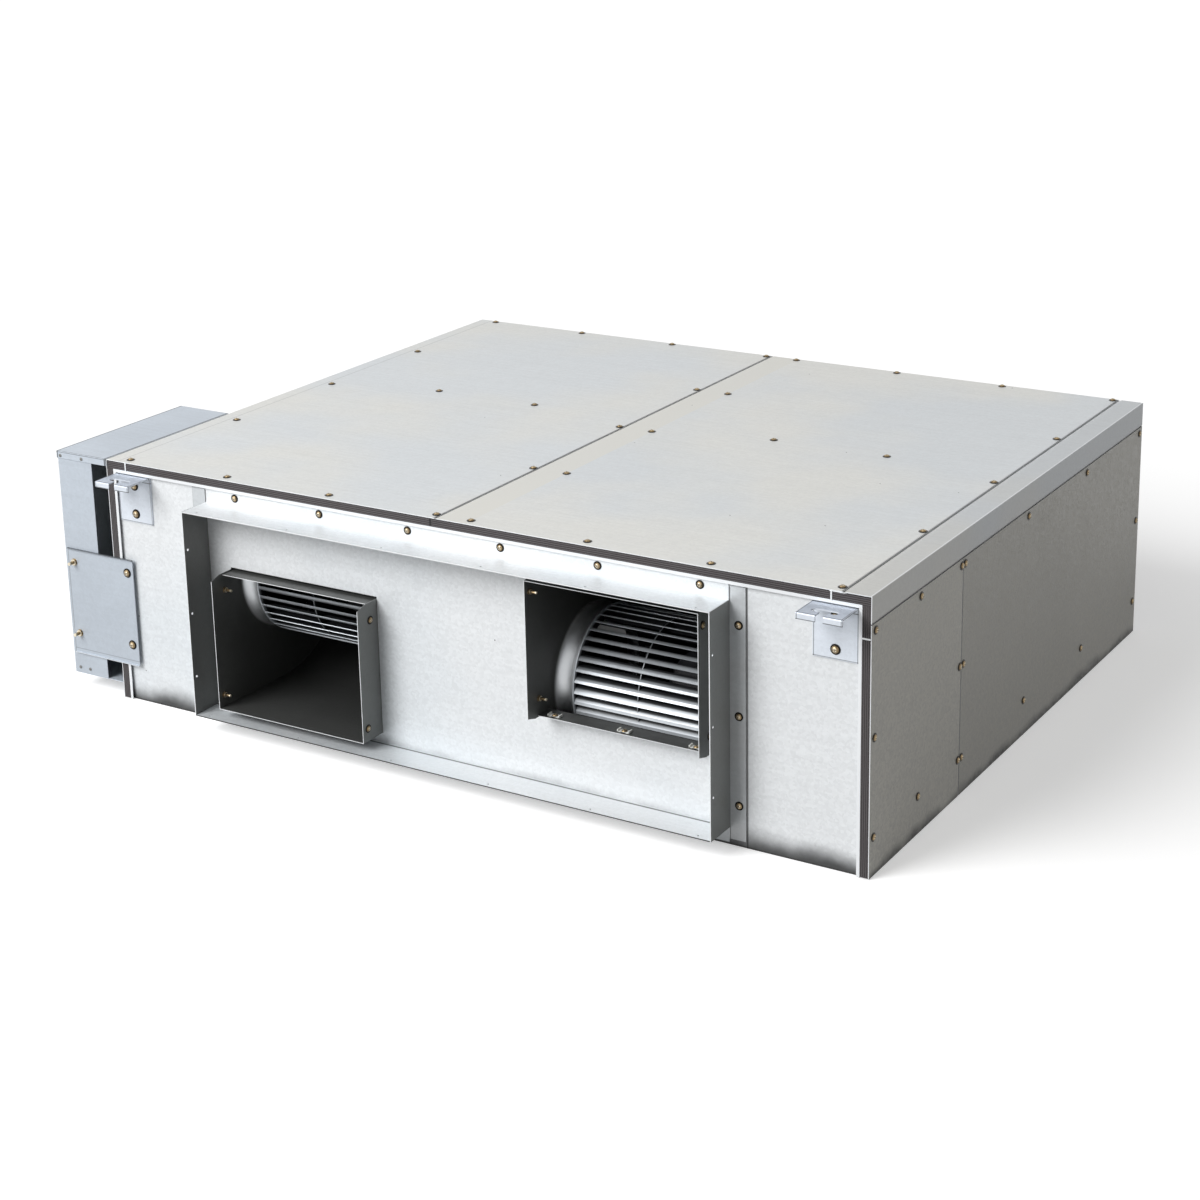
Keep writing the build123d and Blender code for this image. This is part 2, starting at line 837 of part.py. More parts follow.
def make_suction_header():
    """Upright gas header with the stubs that join it to the coil."""
    foot = coil_place(header_offset, -header_length / 2)
    head = coil_place(header_offset, header_length / 2)
    header = round_bar((pipe_space_x, *foot), (pipe_space_x, *head), header_radius)
    for index in range(header_stub_count):
        up = (index - (header_stub_count - 1) / 2) * header_stub_pitch
        y, z = coil_place(header_offset, up)
        header += round_bar((coil_left_x - coil_end_gauge, y, z), (pipe_space_x, y, z), tube_radius)
    return header


def header_y_at(z):
    tilt = math.radians(coil_tilt)
    up = (z - coil_centre_z + header_offset * math.sin(tilt)) / math.cos(tilt)
    return coil_place(header_offset, up)[0]


def stepped_stub(y, z, reach, inner_x, radius):
    """Round pipe through the left side, a little thicker outside the panel where its mate goes on."""
    step_x = -half_width - stub_panel_gap
    stub = round_bar((-half_width - reach, y, z), (step_x, y, z), radius)
    return stub + round_bar((step_x, y, z), (inner_x, y, z), radius - stub_step)


def make_gas_pipe():
    """Gas pipe from the header out through the left side."""
    y = header_y_at(gas_pipe_z)
    pipe = stepped_stub(y, gas_pipe_z, pipe_stub_length, pipe_space_x, gas_pipe_radius)
    foot = coil_place(header_offset, -header_length / 2)
    head = coil_place(header_offset, header_length / 2)
    return pipe - round_bar((pipe_space_x, *foot), (pipe_space_x, *head), header_radius + fit_gap)


def make_liquid_pipe():
    """Liquid pipe from outside to the expansion valve's body."""
    z = valve_base_z + liquid_pipe_rise
    pipe = stepped_stub(valve_y, z, pipe_stub_length, pipe_space_x, liquid_pipe_radius)
    return pipe - round_bar(
        (pipe_space_x, valve_y, valve_base_z),
        (pipe_space_x, valve_y, valve_base_z + valve_body_height),
        valve_body_radius + fit_gap,
    )


def make_expansion_valve():
    """Valve body with its driving coil on top and its outlet tube below."""
    base = (pipe_space_x, valve_y, valve_base_z)
    neck_z = valve_base_z + valve_body_height
    valve = round_bar(base, (pipe_space_x, valve_y, neck_z), valve_body_radius)
    valve += round_bar(
        (pipe_space_x, valve_y, neck_z),
        (pipe_space_x, valve_y, neck_z + valve_head_height),
        valve_head_radius,
    )
    return valve + round_bar((pipe_space_x, valve_y, distributor_top_z), base, liquid_pipe_radius)


def make_distributor():
    """Distributor cone with the feeder tubes that turn into the coil."""
    foot_z = distributor_top_z - distributor_height
    cone = Pos(pipe_space_x, valve_y, (distributor_top_z + foot_z) / 2) * Cone(
        distributor_foot_radius, distributor_top_radius, distributor_height
    )
    for index in range(feeder_count):
        angle = math.radians(45 + 360 * index / feeder_count)
        x = pipe_space_x + feeder_spread * math.cos(angle)
        y = valve_y + feeder_spread * math.sin(angle)
        turn_z = foot_z - feeder_first_drop - feeder_step * index
        start = (x, y, foot_z + 1)
        end = (coil_left_x - coil_end_gauge, y, turn_z)
        path = FilletPolyline(start, (x, y, turn_z), end, radius=feeder_bend)
        section = Plane(origin=start, z_dir=(0, 0, -1)) * RegularPolygon(feeder_radius, 8)
        cone += sweep(section, path=path)
    return cone


def pan_x_range():
    return pan_left_margin - half_width, half_width - pan_right_margin


def make_drain_pan():
    """Open tray under the coil, with an outlet hole in its left wall."""
    floor = foam_floor_z + fit_gap
    x_range = pan_x_range()
    tray = block(x_range, (pan_front_y, pan_rear_y), (floor, floor + pan_height))
    tray -= block(
        (x_range[0] + pan_gauge, x_range[1] - pan_gauge),
        (pan_front_y + pan_gauge, pan_rear_y - pan_gauge),
        (floor + pan_gauge, floor + pan_height),
    )
    wall_x = x_range[0]
    z = drain_z()
    bore = round_bar((wall_x - 1, drain_y, z), (wall_x + 2 * pan_gauge, drain_y, z), drain_bore_radius)
    return tray - bore


def drain_z():
    return foam_floor_z + fit_gap + drain_flange_radius


def make_drain_socket():
    """Drain outlet: a flange on the pan's wall and a pipe through the left side."""
    z = drain_z()
    wall_x = pan_x_range()[0]
    outer = (-half_width - drain_reach, drain_y, z)
    socket = stepped_stub(drain_y, z, drain_reach, wall_x, drain_radius)
    flange_x = wall_x - drain_flange_thickness
    socket += round_bar((wall_x, drain_y, z), (flange_x, drain_y, z), drain_flange_radius)
    return socket - round_bar((wall_x, drain_y, z), outer, drain_bore_radius)


def left_side_holes():
    return [
        (header_y_at(gas_pipe_z), gas_pipe_z, gas_pipe_radius + fit_gap),
        (valve_y, valve_base_z + liquid_pipe_rise, liquid_pipe_radius + fit_gap),
        (drain_y, drain_z(), drain_radius + fit_gap),
    ]


# Electrical box
def make_side_box():
    """Box shell open to the casing side, whose face leaves a slot for the wiring."""
    right_x = -half_width
    top_z = casing_height - panel_gauge
    outline_points = [
        (box_left_x + box_face_width, front_y),
        (box_left_x, front_y),
        (box_left_x, box_rear_y),
        (right_x, box_rear_y),
        (right_x, box_rear_y - box_rear_flange),
    ]
    wall = folded(outline_points, panel_gauge, side=Side.RIGHT)
    shell = along_z(wall, box_bottom_z, top_z)
    floor = block(
        (box_left_x + panel_gauge, right_x),
        (front_y + panel_gauge, box_rear_y - panel_gauge),
        (box_bottom_z, box_bottom_z + panel_gauge),
    )
    return shell + floor


def make_side_box_lid():
    """Lid of the box, with a short lip folded down over its face."""
    section = folded(
        [
            (box_rear_y, casing_height),
            (front_y - panel_gauge, casing_height),
            (front_y - panel_gauge, casing_height - box_lid_drop),
        ],
        panel_gauge,
        side=Side.LEFT,
        radius=panel_gauge,
    )
    return along_x(section, box_left_x, -half_width - fit_gap)


def cover_x_range():
    return box_left_x + cover_left_overlap, -half_width + cover_right_overlap


def make_wiring_cover():
    """Cover plate across the wiring slot, screwed to the box face and the front plate."""
    low_x, high_x = cover_x_range()
    low_z, high_z = cover_bottom_z, cover_bottom_z + cover_height
    face_y = front_y
    cover = block((low_x, high_x), (face_y - panel_gauge, face_y), (low_z, high_z))
    for z in (low_z, high_z - panel_gauge):
        cover += block((low_x, high_x), (face_y - cover_fold, face_y - panel_gauge), (z, z + panel_gauge))
    return cover


def make_terminal_block():
    """Terminal block on the box's outer wall, with one open cell for each pole."""
    wall_x = box_left_x + panel_gauge
    middle_y = front_y + box_depth / 2
    base_z = box_bottom_z + panel_gauge
    low_y = middle_y - terminal_length / 2
    bar = block(
        (wall_x, wall_x + terminal_depth),
        (low_y, low_y + terminal_length),
        (base_z, base_z + terminal_height),
    )
    pitch = terminal_length / terminal_count
    for index in range(terminal_count):
        start = low_y + index * pitch + panel_gauge
        bar -= block(
            (wall_x + terminal_depth / 2, wall_x + terminal_depth),
            (start, start + pitch - 2 * panel_gauge),
            (base_z + terminal_height / 3, base_z + terminal_height),
        )
    return bar


def make_control_board():
    """Control board on four posts from the box's outer wall."""
    wall_x = box_left_x + panel_gauge
    middle_y = box_rear_y - board_rear_gap - board_length / 2
    middle_z = (box_bottom_z + casing_height) / 2 + board_above_middle
    board_x = wall_x + board_post_height
    board = block(
        (board_x, board_x + board_gauge),
        (middle_y - board_length / 2, middle_y + board_length / 2),
        (middle_z - board_height / 2, middle_z + board_height / 2),
    )
    for side_y in (-1, 1):
        for side_z in (-1, 1):
            y = middle_y + side_y * (board_length / 2 - 2 * board_post_radius)
            z = middle_z + side_z * (board_height / 2 - 2 * board_post_radius)
            board += round_bar((wall_x, y, z), (board_x + board_gauge / 2, y, z), board_post_radius)
    return board


# Screw heads
def make_top_screws():
    """Screw heads along the seams, edges and cross supports of the top panels."""
    across = screw_across_flats
    rows_y = spaced(front_y + top_screw_front, rear_y - top_screw_inset, 5)
    places = []
    left_x = -half_width + edge_drop
    seam_left = top_seam_x - top_screw_inset
    seam_right = top_seam_x + top_strip_width
    rail_x = rail_seam_x - seam_gap - top_screw_inset
    for y in rows_y:
        places += [(x, y) for x in (left_x, seam_left, seam_right, rail_x)]
    for low_x, high_x in ((left_x, seam_left), (seam_right, rail_x)):
        for share in (1 / 3, 2 / 3):
            x = low_x + (high_x - low_x) * share
            places += [(x, rows_y[0]), (x, cross_support_y), (x, rows_y[-1])]
    heads = [hex_head((x, y, casing_height), (0, 0, 1), across, screw_head_height) for x, y in places]
    return Compound(children=heads)


def make_side_screws():
    """Screw heads round the edges of the right and left side panels."""
    across = screw_across_flats
    top_z = casing_height - edge_drop - side_screw_drop
    seam_pair = (side_seam_y - side_screw_inset / 2, side_seam_y + side_screw_inset / 2)
    front_edge = front_y + side_screw_inset
    rear_edge = rear_y - side_screw_inset
    mid_front = (front_edge + side_seam_y) / 2
    middle_z = casing_height / 2
    rear_row = spaced(side_seam_y, rear_edge, 4)[1:3]
    columns = (front_edge, *seam_pair, rear_edge)
    right = [(y, z) for y in columns for z in (side_screw_bottom, middle_z, top_z)]
    right += [(mid_front, side_screw_bottom), (mid_front, top_z)]
    right += [(y, z) for y in rear_row for z in (side_screw_bottom, top_z)]
    left = [(y, z) for y, z in right if y > box_rear_y + side_screw_inset]
    heads = [hex_head((half_width, y, z), (1, 0, 0), across, screw_head_height) for y, z in right]
    heads += [hex_head((-half_width, y, z), (-1, 0, 0), across, screw_head_height) for y, z in left]
    return Compound(children=heads)


def make_frame_screws():
    """Screw heads that hold the duct frame to the front plate."""
    across = screw_across_flats
    face_y = plate_front_y - angle_gauge
    beam_x = [frame_screw_pitch * (index - 2.5) for index in range(6)]
    places = [(x, frame_top_z + frame_screw_inset) for x in beam_x]
    places += [(x, frame_bottom_z - frame_screw_inset) for x in beam_x]
    middle = (frame_bottom_z + frame_top_z) / 2
    for x in (frame_left_x - frame_screw_inset, frame_right_x + frame_screw_inset):
        reach = (frame_top_z - frame_bottom_z) / 2 - frame_screw_end_inset
        places += [(x, middle + turn * reach) for turn in (-1, 0, 1)]
    heads = [hex_head((x, face_y, z), (0, -1, 0), across, screw_head_height) for x, z in places]
    return Compound(children=heads)


def make_outlet_screws(blower):
    """Screw heads on the collar walls and the cutoff lip of one blower."""
    across = screw_across_flats
    heads = []
    places = [
        (blower_setback + collar_screw_front, -collar_screw_drop),
        (blower_setback + collar_screw_low_front, collar_screw_low_rise - scroll_drop),
    ]
    for wall_x in (blower.x - blower_width / 2 + blower_gauge, blower.x + blower_width / 2):
        for u, v in places:
            heads.append(hex_head((wall_x, *blower.at(u, v)), (1, 0, 0), across, screw_head_height))
    y, z = blower.at(blower_setback + lip_screw_front, cutoff_rise)
    for share in (-1, 0, 1):
        x = blower.x + share * (blower_width / 2 - lip_screw_inset)
        heads.append(hex_head((x, y, z), (0, 0, -blower.flip), across, screw_head_height))
    return heads


def make_bracket_bolts():
    """Bolt heads that hold the hanger brackets and the wiring cover."""
    across = bolt_across_flats
    heads = []
    centre_x = half_width - hanger_inset - hanger_width / 2
    for side in (-1, 1):
        for drop in hanger_bolt_drops:
            z = hanger_top_z - drop
            front = (side * centre_x, plate_front_y - hanger_gauge, z)
            rear = (side * centre_x, rear_y + hanger_gauge, z)
            heads.append(hex_head(front, (0, -1, 0), across, bolt_head_height))
            heads.append(hex_head(rear, (0, 1, 0), across, bolt_head_height))
    low_x, high_x = cover_x_range()
    for x in (low_x + side_screw_inset, high_x - side_screw_inset):
        for z in (cover_bottom_z + cover_screw_rise, cover_bottom_z + cover_height - cover_screw_drop):
            place = (x, front_y - panel_gauge, z)
            heads.append(hex_head(place, (0, -1, 0), screw_across_flats, screw_head_height))
    return Compound(children=heads)


def build_parts():
    """Every node of the unit by name."""
    blowers = {"left": Blower(left_blower_x, 1), "right": Blower(right_blower_x, -1)}
    parts = {
        "bottom_panel": make_bottom_panel(),
        "top_panel_left": make_top_panel_left(),
        "top_panel_right": make_top_panel_right(),
        "top_rail_right": make_top_rail_right(),
        "side_panel_right_front": make_side_panel(1, front_y, side_seam_y - seam_gap),
        "side_panel_right_rear": make_side_panel(1, side_seam_y, rear_y),
        "side_panel_left_front": make_side_panel(-1, front_y, side_seam_y - seam_gap),
        "side_panel_left_rear": make_side_panel(-1, side_seam_y, rear_y, left_side_holes()),
        "front_plate": make_front_plate(),
        "rear_panel": make_rear_panel(),
        "suction_frame": make_suction_frame(),
        "insulation_top": make_foam_top(),
        "insulation_left": make_foam_side(-1, left_side_holes()),
        "insulation_right": make_foam_side(1),
        "insulation_floor": make_foam_floor(),
        "duct_frame_top": make_frame_beam(True),
        "duct_frame_bottom": make_frame_beam(False),
        "duct_frame_left": make_frame_upright(-1),
        "duct_frame_right": make_frame_upright(1),
        "hanger_front_left": make_hanger(-1, True),
        "hanger_front_right": make_hanger(1, True),
        "hanger_rear_left": make_hanger(-1, False),
        "hanger_rear_right": make_hanger(1, False),
        "coil_fins": make_coil_fins(),
        "coil_end_left": make_coil_end(True),
        "coil_end_right": make_coil_end(False),
        "coil_return_bends": make_return_bends(),
        "suction_header": make_suction_header(),
        "gas_pipe": make_gas_pipe(),
        "liquid_pipe": make_liquid_pipe(),
        "expansion_valve": make_expansion_valve(),
        "liquid_distributor": make_distributor(),
        "drain_pan": make_drain_pan(),
        "drain_socket": make_drain_socket(),
        "side_box": make_side_box(),
        "side_box_lid": make_side_box_lid(),
        "wiring_cover": make_wiring_cover(),
        "terminal_block": make_terminal_block(),
        "control_board": make_control_board(),
        "top_screws": make_top_screws(),
        "side_screws": make_side_screws(),
        "frame_screws": make_frame_screws(),
        "bracket_bolts": make_bracket_bolts(),
    }
    outlet_heads = []
    for name, blower in blowers.items():
        parts[name + "_scroll"] = make_scroll(blower)
        parts[name + "_blower_side_outer"] = make_blower_side(blower, -1)
        parts[name + "_blower_side_motor"] = make_blower_side(blower, 1)
        parts[name + "_cutoff_lip"] = make_cutoff_lip(blower)
        parts[name + "_fan_wheel"] = make_fan_wheel(blower)
        parts[name + "_shaft"] = make_shaft(blower)
        parts[name + "_motor"] = make_motor(blower)
        parts[name + "_motor_bracket"] = make_motor_bracket(blower)
        outlet_heads += make_outlet_screws(blower)
    parts["outlet_screws"] = Compound(children=outlet_heads)
    return parts


os.makedirs("parts", exist_ok=True)
for node, solid in build_parts().items():
    export_step(solid, os.path.join("parts", node + ".step"))
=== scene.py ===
"""Looks of a ducted air conditioner indoor unit: mottled galvanised sheet, foam, fans, coil, screws."""

import math

import bmesh
import bpy
from mathutils import Matrix, Vector


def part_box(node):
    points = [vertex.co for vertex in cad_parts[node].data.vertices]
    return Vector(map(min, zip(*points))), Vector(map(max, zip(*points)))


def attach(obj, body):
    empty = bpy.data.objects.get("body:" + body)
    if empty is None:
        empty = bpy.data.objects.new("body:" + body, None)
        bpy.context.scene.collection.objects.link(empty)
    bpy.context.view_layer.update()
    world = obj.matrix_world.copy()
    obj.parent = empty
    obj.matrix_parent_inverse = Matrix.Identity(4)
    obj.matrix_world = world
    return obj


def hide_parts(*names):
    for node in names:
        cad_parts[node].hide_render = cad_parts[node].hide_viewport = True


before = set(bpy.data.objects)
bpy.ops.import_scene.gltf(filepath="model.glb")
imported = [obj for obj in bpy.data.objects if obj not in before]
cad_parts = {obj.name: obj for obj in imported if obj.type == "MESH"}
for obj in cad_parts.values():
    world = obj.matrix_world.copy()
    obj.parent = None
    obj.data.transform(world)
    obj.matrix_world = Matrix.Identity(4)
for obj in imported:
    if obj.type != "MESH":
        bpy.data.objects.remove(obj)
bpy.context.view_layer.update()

bl_info = {
    "name": "Ducted indoor unit",
    "version": (1, 0, 0),
    "blender": (4, 5, 0),
    "location": "3D View > Sidebar > Indoor Unit",
    "description": "Dresses the frame of a ducted air conditioner indoor unit",
    "category": "Object",
}

CASING = "casing"
BLOWERS = ("left", "right")
X_WAY, Y_WAY, Z_WAY = (1, 0, 0), (0, 1, 0), (0, 0, 1)

# Camera place in metres, and the directions to the right, up and back in the shared frame.
CAMERA_PLACE = (1.95595, -3.29341, 1.52862)
CAMERA_RIGHT = (0.85399, 0.51992, -0.019566)
CAMERA_UP = (-0.126208, 0.243490, 0.961657)
CAMERA_BACK = (0.504750, -0.818776, 0.273556)
CAMERA_LENS = 70.98
CAMERA_SHIFT_Y = -0.15
CAMERA_SENSOR = 36.0
CAMERA_CLIP_END = 60.0

LAMP_PLACE = (-2.9, -5.8, 4.9)
LAMP_TARGET = (0, 0, 0.2)
LAMP_SIZE = 4.9
FLOOR_REACH = 40.0
FLOOR_DROP = 0.0005
# The floor's own paper ends between these distances from the middle, and plain white takes over.
PAPER_NEAR, PAPER_FAR = 0.9, 2.0

# Tones of painted highlights on edges, of painted shade, and of open seams and painted shadow lines.
EDGE_HIGHLIGHT = (0.86, 0.88, 0.90)
PAINTED_SHADE = (0.012, 0.012, 0.012)
SEAM_AND_SHADOW = (0.012, 0.012, 0.012)

# Cut edges in front of these planes along Y get a painted highlight: rail, front plate, duct frame, outlet
# collars and lips.
RAIL_EDGE_Y = -0.549
PLATE_EDGE_Y = -0.5495
FRAME_EDGE_Y = -0.6045
COLLAR_EDGE_Y = -0.5908
LIP_EDGE_Y = -0.566

# A faint dark line at the left fold and a strip of another tone beside the right seam, where the panel is
# joggled, are painted shade of the bends.
LEFT_FOLD_X = -0.664
OVERLAP_WIDTH = 0.054
JOGGLE_SHADE = (0.735, 0.725, 0.675)

FOAM_LIGHT, FOAM_DARK = (0.115, 0.105, 0.108), (0.030, 0.026, 0.027)
FOAM_JOINT_FROM_SEAM = 0.010
FOAM_CLIP_X = (-0.648, 0.629)
FOAM_CLIP_HALF_WIDTH = 0.0012
FOAM_CLIP_Z = (0.3565, 0.3589)

LID_RIVET_X, LID_RIVET_Z = (-0.791, -0.744), 0.4125
FOOT_RIVET_X, FOOT_RIVET_Z = (-0.786, -0.764), 0.036
STUD_WALL_REACH = 0.002
COVER_STUDS_X = -0.75

# Copper tubes of the coil: how many cross the fins in a row, and the places between them.
TUBES_IN_ROW = 14
TUBE_PITCH = 0.027
TUBE_ROW_PITCH = 0.022
TUBE_RADIUS = 0.0048
QUARTER_TURN = (0, math.pi / 2, 0)
COPPER_PARTS = "gas_pipe liquid_pipe suction_header liquid_distributor coil_return_bends"

FLOAT, COLOUR, VECTOR = "NodeSocketFloat", "NodeSocketColor", "NodeSocketVector"
GEOMETRY, MATERIAL, INTEGER = "NodeSocketGeometry", "NodeSocketMaterial", "NodeSocketInt"


# Node tree helpers
class Flow:
    """Output of a node. Arithmetic on it adds Math nodes to the same tree."""

    def __init__(self, socket):
        self.socket = socket
        self.tree = socket.id_data

    def maths(self, operation, *values):
        return flow(self.tree, "ShaderNodeMath", dict(enumerate(values)), operation=operation)

    def of(self, operation):
        return self.maths(operation, self)

    def __add__(self, other):
        return self.maths("ADD", self, other)

    def __radd__(self, other):
        return self.maths("ADD", other, self)

    def __sub__(self, other):
        return self.maths("SUBTRACT", self, other)

    def __mul__(self, other):
        return self.maths("MULTIPLY", self, other)

    def __truediv__(self, other):
        return self.maths("DIVIDE", self, other)

    def __rtruediv__(self, other):
        return self.maths("DIVIDE", other, self)

    def __neg__(self):
        return self * -1.0

    def __lt__(self, other):
        return self.maths("LESS_THAN", self, other)

    def __gt__(self, other):
        return self.maths("GREATER_THAN", self, other)


def set_inputs(node, inputs):
    """Give a node's inputs values or links."""
    for key, value in inputs.items():
        if isinstance(value, Flow):
            node.id_data.links.new(value.socket, node.inputs[key])
        else:
            node.inputs[key].default_value = value


def put(tree, kind, inputs=None, **settings):
    """Add a node, set its properties and give its inputs values or links."""
    node = tree.nodes.new(kind)
    for name, value in settings.items():
        setattr(node, name, value)
    set_inputs(node, inputs or {})
    return node


def flow(tree, kind, inputs=None, output=0, **settings):
    """Add a node and give one of its outputs."""
    return Flow(put(tree, kind, inputs, **settings).outputs[output])


def blend(share, low, high, kind="MIX"):
    """Mix of two colours by a share."""
    inputs = {0: share, 6: low, 7: high}
    return flow(share.tree, "ShaderNodeMix", inputs, 2, data_type="RGBA", blend_type=kind)


def ramp(value, low, high, out_low=0.0, out_high=1.0):
    """Value carried smoothly from one range to another."""
    inputs = {"Value": value, "From Min": low, "From Max": high, "To Min": out_low, "To Max": out_high}
    return flow(value.tree, "ShaderNodeMapRange", inputs, interpolation_type="SMOOTHSTEP")


def noise(place, scale, detail, **more):
    inputs = {"Vector": place, "Scale": scale, "Detail": detail, **more}
    return flow(place.tree, "ShaderNodeTexNoise", inputs)


def toned(base, level, **more):
    """Colour with its value scaled by a level."""
    return flow(base.tree, "ShaderNodeHueSaturation", {"Color": base, "Value": level, **more})


def dot(first, second):
    return flow(first.tree, "ShaderNodeVectorMath", {0: first, 1: second}, "Value", operation="DOT_PRODUCT")


def length(vector):
    return flow(vector.tree, "ShaderNodeVectorMath", {0: vector}, "Value", operation="LENGTH")


def part(vector, axis):
    return flow(vector.tree, "ShaderNodeSeparateXYZ", {0: vector}, axis)


def point_of(tree, x, y, z):
    return flow(tree, "ShaderNodeCombineXYZ", {0: x, 1: y, 2: z})


def red(tone):
    return flow(tone.tree, "ShaderNodeSeparateColor", {0: tone})


def object_place(tree):
    return flow(tree, "ShaderNodeTexCoord", None, "Object")


def object_normal(tree):
    return flow(tree, "ShaderNodeTexCoord", None, "Normal")


def socket_type(default):
    """Type of a group's input from its default: a number, a vector's three parts or a colour's four."""
    if isinstance(default, tuple):
        return VECTOR if len(default) == 3 else COLOUR
    return INTEGER if isinstance(default, int) else FLOAT


def group_tree(name, inputs, outputs, kind="ShaderNodeTree"):
    """New node group: its tree, its inputs by name and its output node.

    Inputs are given by name with their defaults, or with the type where there is no default.
    """
    tree = bpy.data.node_groups.new(name, kind)
    for label, default in inputs.items():
        bare = default in (GEOMETRY, MATERIAL)
        wanted = default if bare else socket_type(default)
        socket = tree.interface.new_socket(label, in_out="INPUT", socket_type=wanted)
        if not bare:
            socket.default_value = default
    for label in outputs:
        wanted = {"Colour": COLOUR, "Geometry": GEOMETRY}.get(label, FLOAT)
        tree.interface.new_socket(label, in_out="OUTPUT", socket_type=wanted)
    inside = tree.nodes.new("NodeGroupInput")
    given = {label: Flow(inside.outputs[label]) for label in inputs}
    return tree, given, tree.nodes.new("NodeGroupOutput")


# Shared surface effects
def effect(label, inputs, outputs=("Mask",)):
    """Make the decorated function fill a shared node group, and its calls put that group into a tree."""

    def wrap(fill):
        groups = []

        def use(tree, values=None):
            if not groups:
                group, given, out = group_tree(label, inputs, outputs)
                made = fill(group, given)
                set_inputs(out, dict(zip(outputs, made if isinstance(made, tuple) else (made,))))
                groups.append(group)
            node = put(tree, "ShaderNodeGroup", values, node_tree=groups[0])
            found = tuple(Flow(node.outputs[name]) for name in outputs)
            return found if len(found) > 1 else found[0]

        return use

    return wrap


@effect(
    "Zinc coat",
    {
        "Cool": (0.7, 0.72, 0.74, 1),
        "Warm": (0.72, 0.71, 0.66, 1),
        "Patches": 2.2,
        "Mottle": 0.05,
        "Crystals": 0.04,
        "Crystal Density": 240.0,
    },
    ("Colour", "Roughness", "Height"),
)
def zinc_coat(tree, given):
    """Zinc coat of hot-dipped sheet: broad tint patches, fine mottling, crystals and rolling streaks."""
    place = object_place(tree)
    tint = blend(ramp(noise(place, given["Patches"], 3.0), 0.38, 0.62), given["Cool"], given["Warm"])
    mottle = noise(place, 34.0, 5.0, Roughness=0.62, Distortion=0.8)
    cells = {"Vector": place, "Scale": given["Crystal Density"], "Randomness": 1.0}
    facet = red(flow(tree, "ShaderNodeTexVoronoi", cells, "Color"))
    stretched = flow(tree, "ShaderNodeMapping", {"Vector": place, "Scale": (6.0, 160.0, 160.0)})
    streak = noise(stretched, 1.0, 2.0)
    mottle_part = (mottle - 0.5) * given["Mottle"]
    facet_part = (facet - 0.5) * given["Crystals"]
    shade = mottle_part + facet_part + (streak - 0.5) * 0.05
    colour_out = toned(tint, shade * 2.0 + 1.0, Hue=0.5, Saturation=1.0)
    return colour_out, 0.44 + (facet_part + mottle_part) * 1.6, facet + streak * 2.0


@effect("Cut edge", {"Thin Way": Z_WAY})
def cut_edge(tree, given):
    """Mask of a sheet's cut edges: the faces that don't look along the sheet's thin direction."""
    return dot(object_normal(tree), given["Thin Way"]).of("ABSOLUTE") < 0.35


@effect("Facing", {"Way": X_WAY})
def facing(tree, given):
    """Mask of the faces that look along a direction."""
    return dot(object_normal(tree), given["Way"]) > 0.5


@effect("Near axis", {"Axis Y": 0.0, "Axis Z": 0.0, "Near": 0.1, "Far": 0.11})
def near_axis(tree, given):
    """Mask of what lies near an axis that runs along X."""
    place = object_place(tree)
    across = point_of(tree, 0.0, part(place, "Y") - given["Axis Y"], part(place, "Z") - given["Axis Z"])
    return ramp(length(across), given["Near"], given["Far"], 1.0, 0.0)


@effect("Pin marks", {"Density": 7.0, "Size": 0.0012})
def pin_marks(tree, given):
    """Mask of small dark marks scattered over flat sheets."""
    place = object_place(tree)
    x, y, z = (part(place, axis) for axis in "XYZ")
    flat = {"Vector": point_of(tree, x + y * 0.7, y + z, 0.0), "Scale": given["Density"]}
    cells = put(tree, "ShaderNodeTexVoronoi", flat, voronoi_dimensions="2D").outputs
    away = Flow(cells["Distance"]) / given["Density"]
    return (red(Flow(cells["Color"])) > 0.78) * (away < given["Size"])


@effect("Band", {"Way": X_WAY, "From": 0.0, "To": 0.1})
def straight_band(tree, given):
    """Mask of a straight band across a sheet, between two places along one direction."""
    along = dot(object_place(tree), given["Way"])
    return (along > given["From"]) * (along < given["To"])


@effect("Front edge", {"Plane": -0.59})
def front_edge(tree, given):
    """Mask of the edges that look forward and lie in front of a plane, where a highlight is painted."""
    looks = part(object_normal(tree), "Y") < -0.8
    return looks * (part(object_place(tree), "Y") < given["Plane"])


@effect("Painted shade by depth", {"Front": -0.6, "Back": -0.45})
def soot_by_depth(tree, given):
    """Mask that grows from a front plane into the housing, for painted shade deep inside."""
    place = object_place(tree)
    shifted = part(place, "Y") + (noise(place, 16.0, 4.0) - 0.5) * 0.06
    return ramp(shifted, given["Front"], given["Back"])


@effect("Line mask", {"Way": X_WAY, "Place": 0.0, "Width": 0.0012})
def line_mask(tree, given):
    """Mask of a straight line across a sheet, at a place along one direction, for seams, folds, painted
    shadow lines and painted highlight lines.
    """
    away = (dot(object_place(tree), given["Way"]) - given["Place"]).of("ABSOLUTE")
    return ramp(away, 0.0, given["Width"], 1.0, 0.0)


@effect("Low painted shade", {"Floor": 0.0, "Reach": 0.05})
def low_painted_shade(tree, given):
    """Mask of painted shade low on a wall, uneven along it."""
    place = object_place(tree)
    shifted = part(place, "Z") + (noise(place, 9.0, 4.0) - 0.5) * -0.05
    return ramp(shifted, given["Floor"], given["Floor"] + given["Reach"], 1.0, 0.0)


@effect(
    "Fine grain",
    {"Base": (0.5, 0.5, 0.5, 1), "Grain": 300.0, "Tone": 0.15},
    ("Colour", "Height", "Roughness"),
)
def fine_grain(tree, given):
    """Fine grain of cast, moulded or painted surfaces: a small tone shift and a height."""
    place = object_place(tree)
    fine = noise(place, given["Grain"], 3.0)
    both = fine + noise(place, 14.0, 3.0) - 1.0
    return toned(given["Base"], 1.0 + both * given["Tone"]), fine, 0.5 + both * 0.3


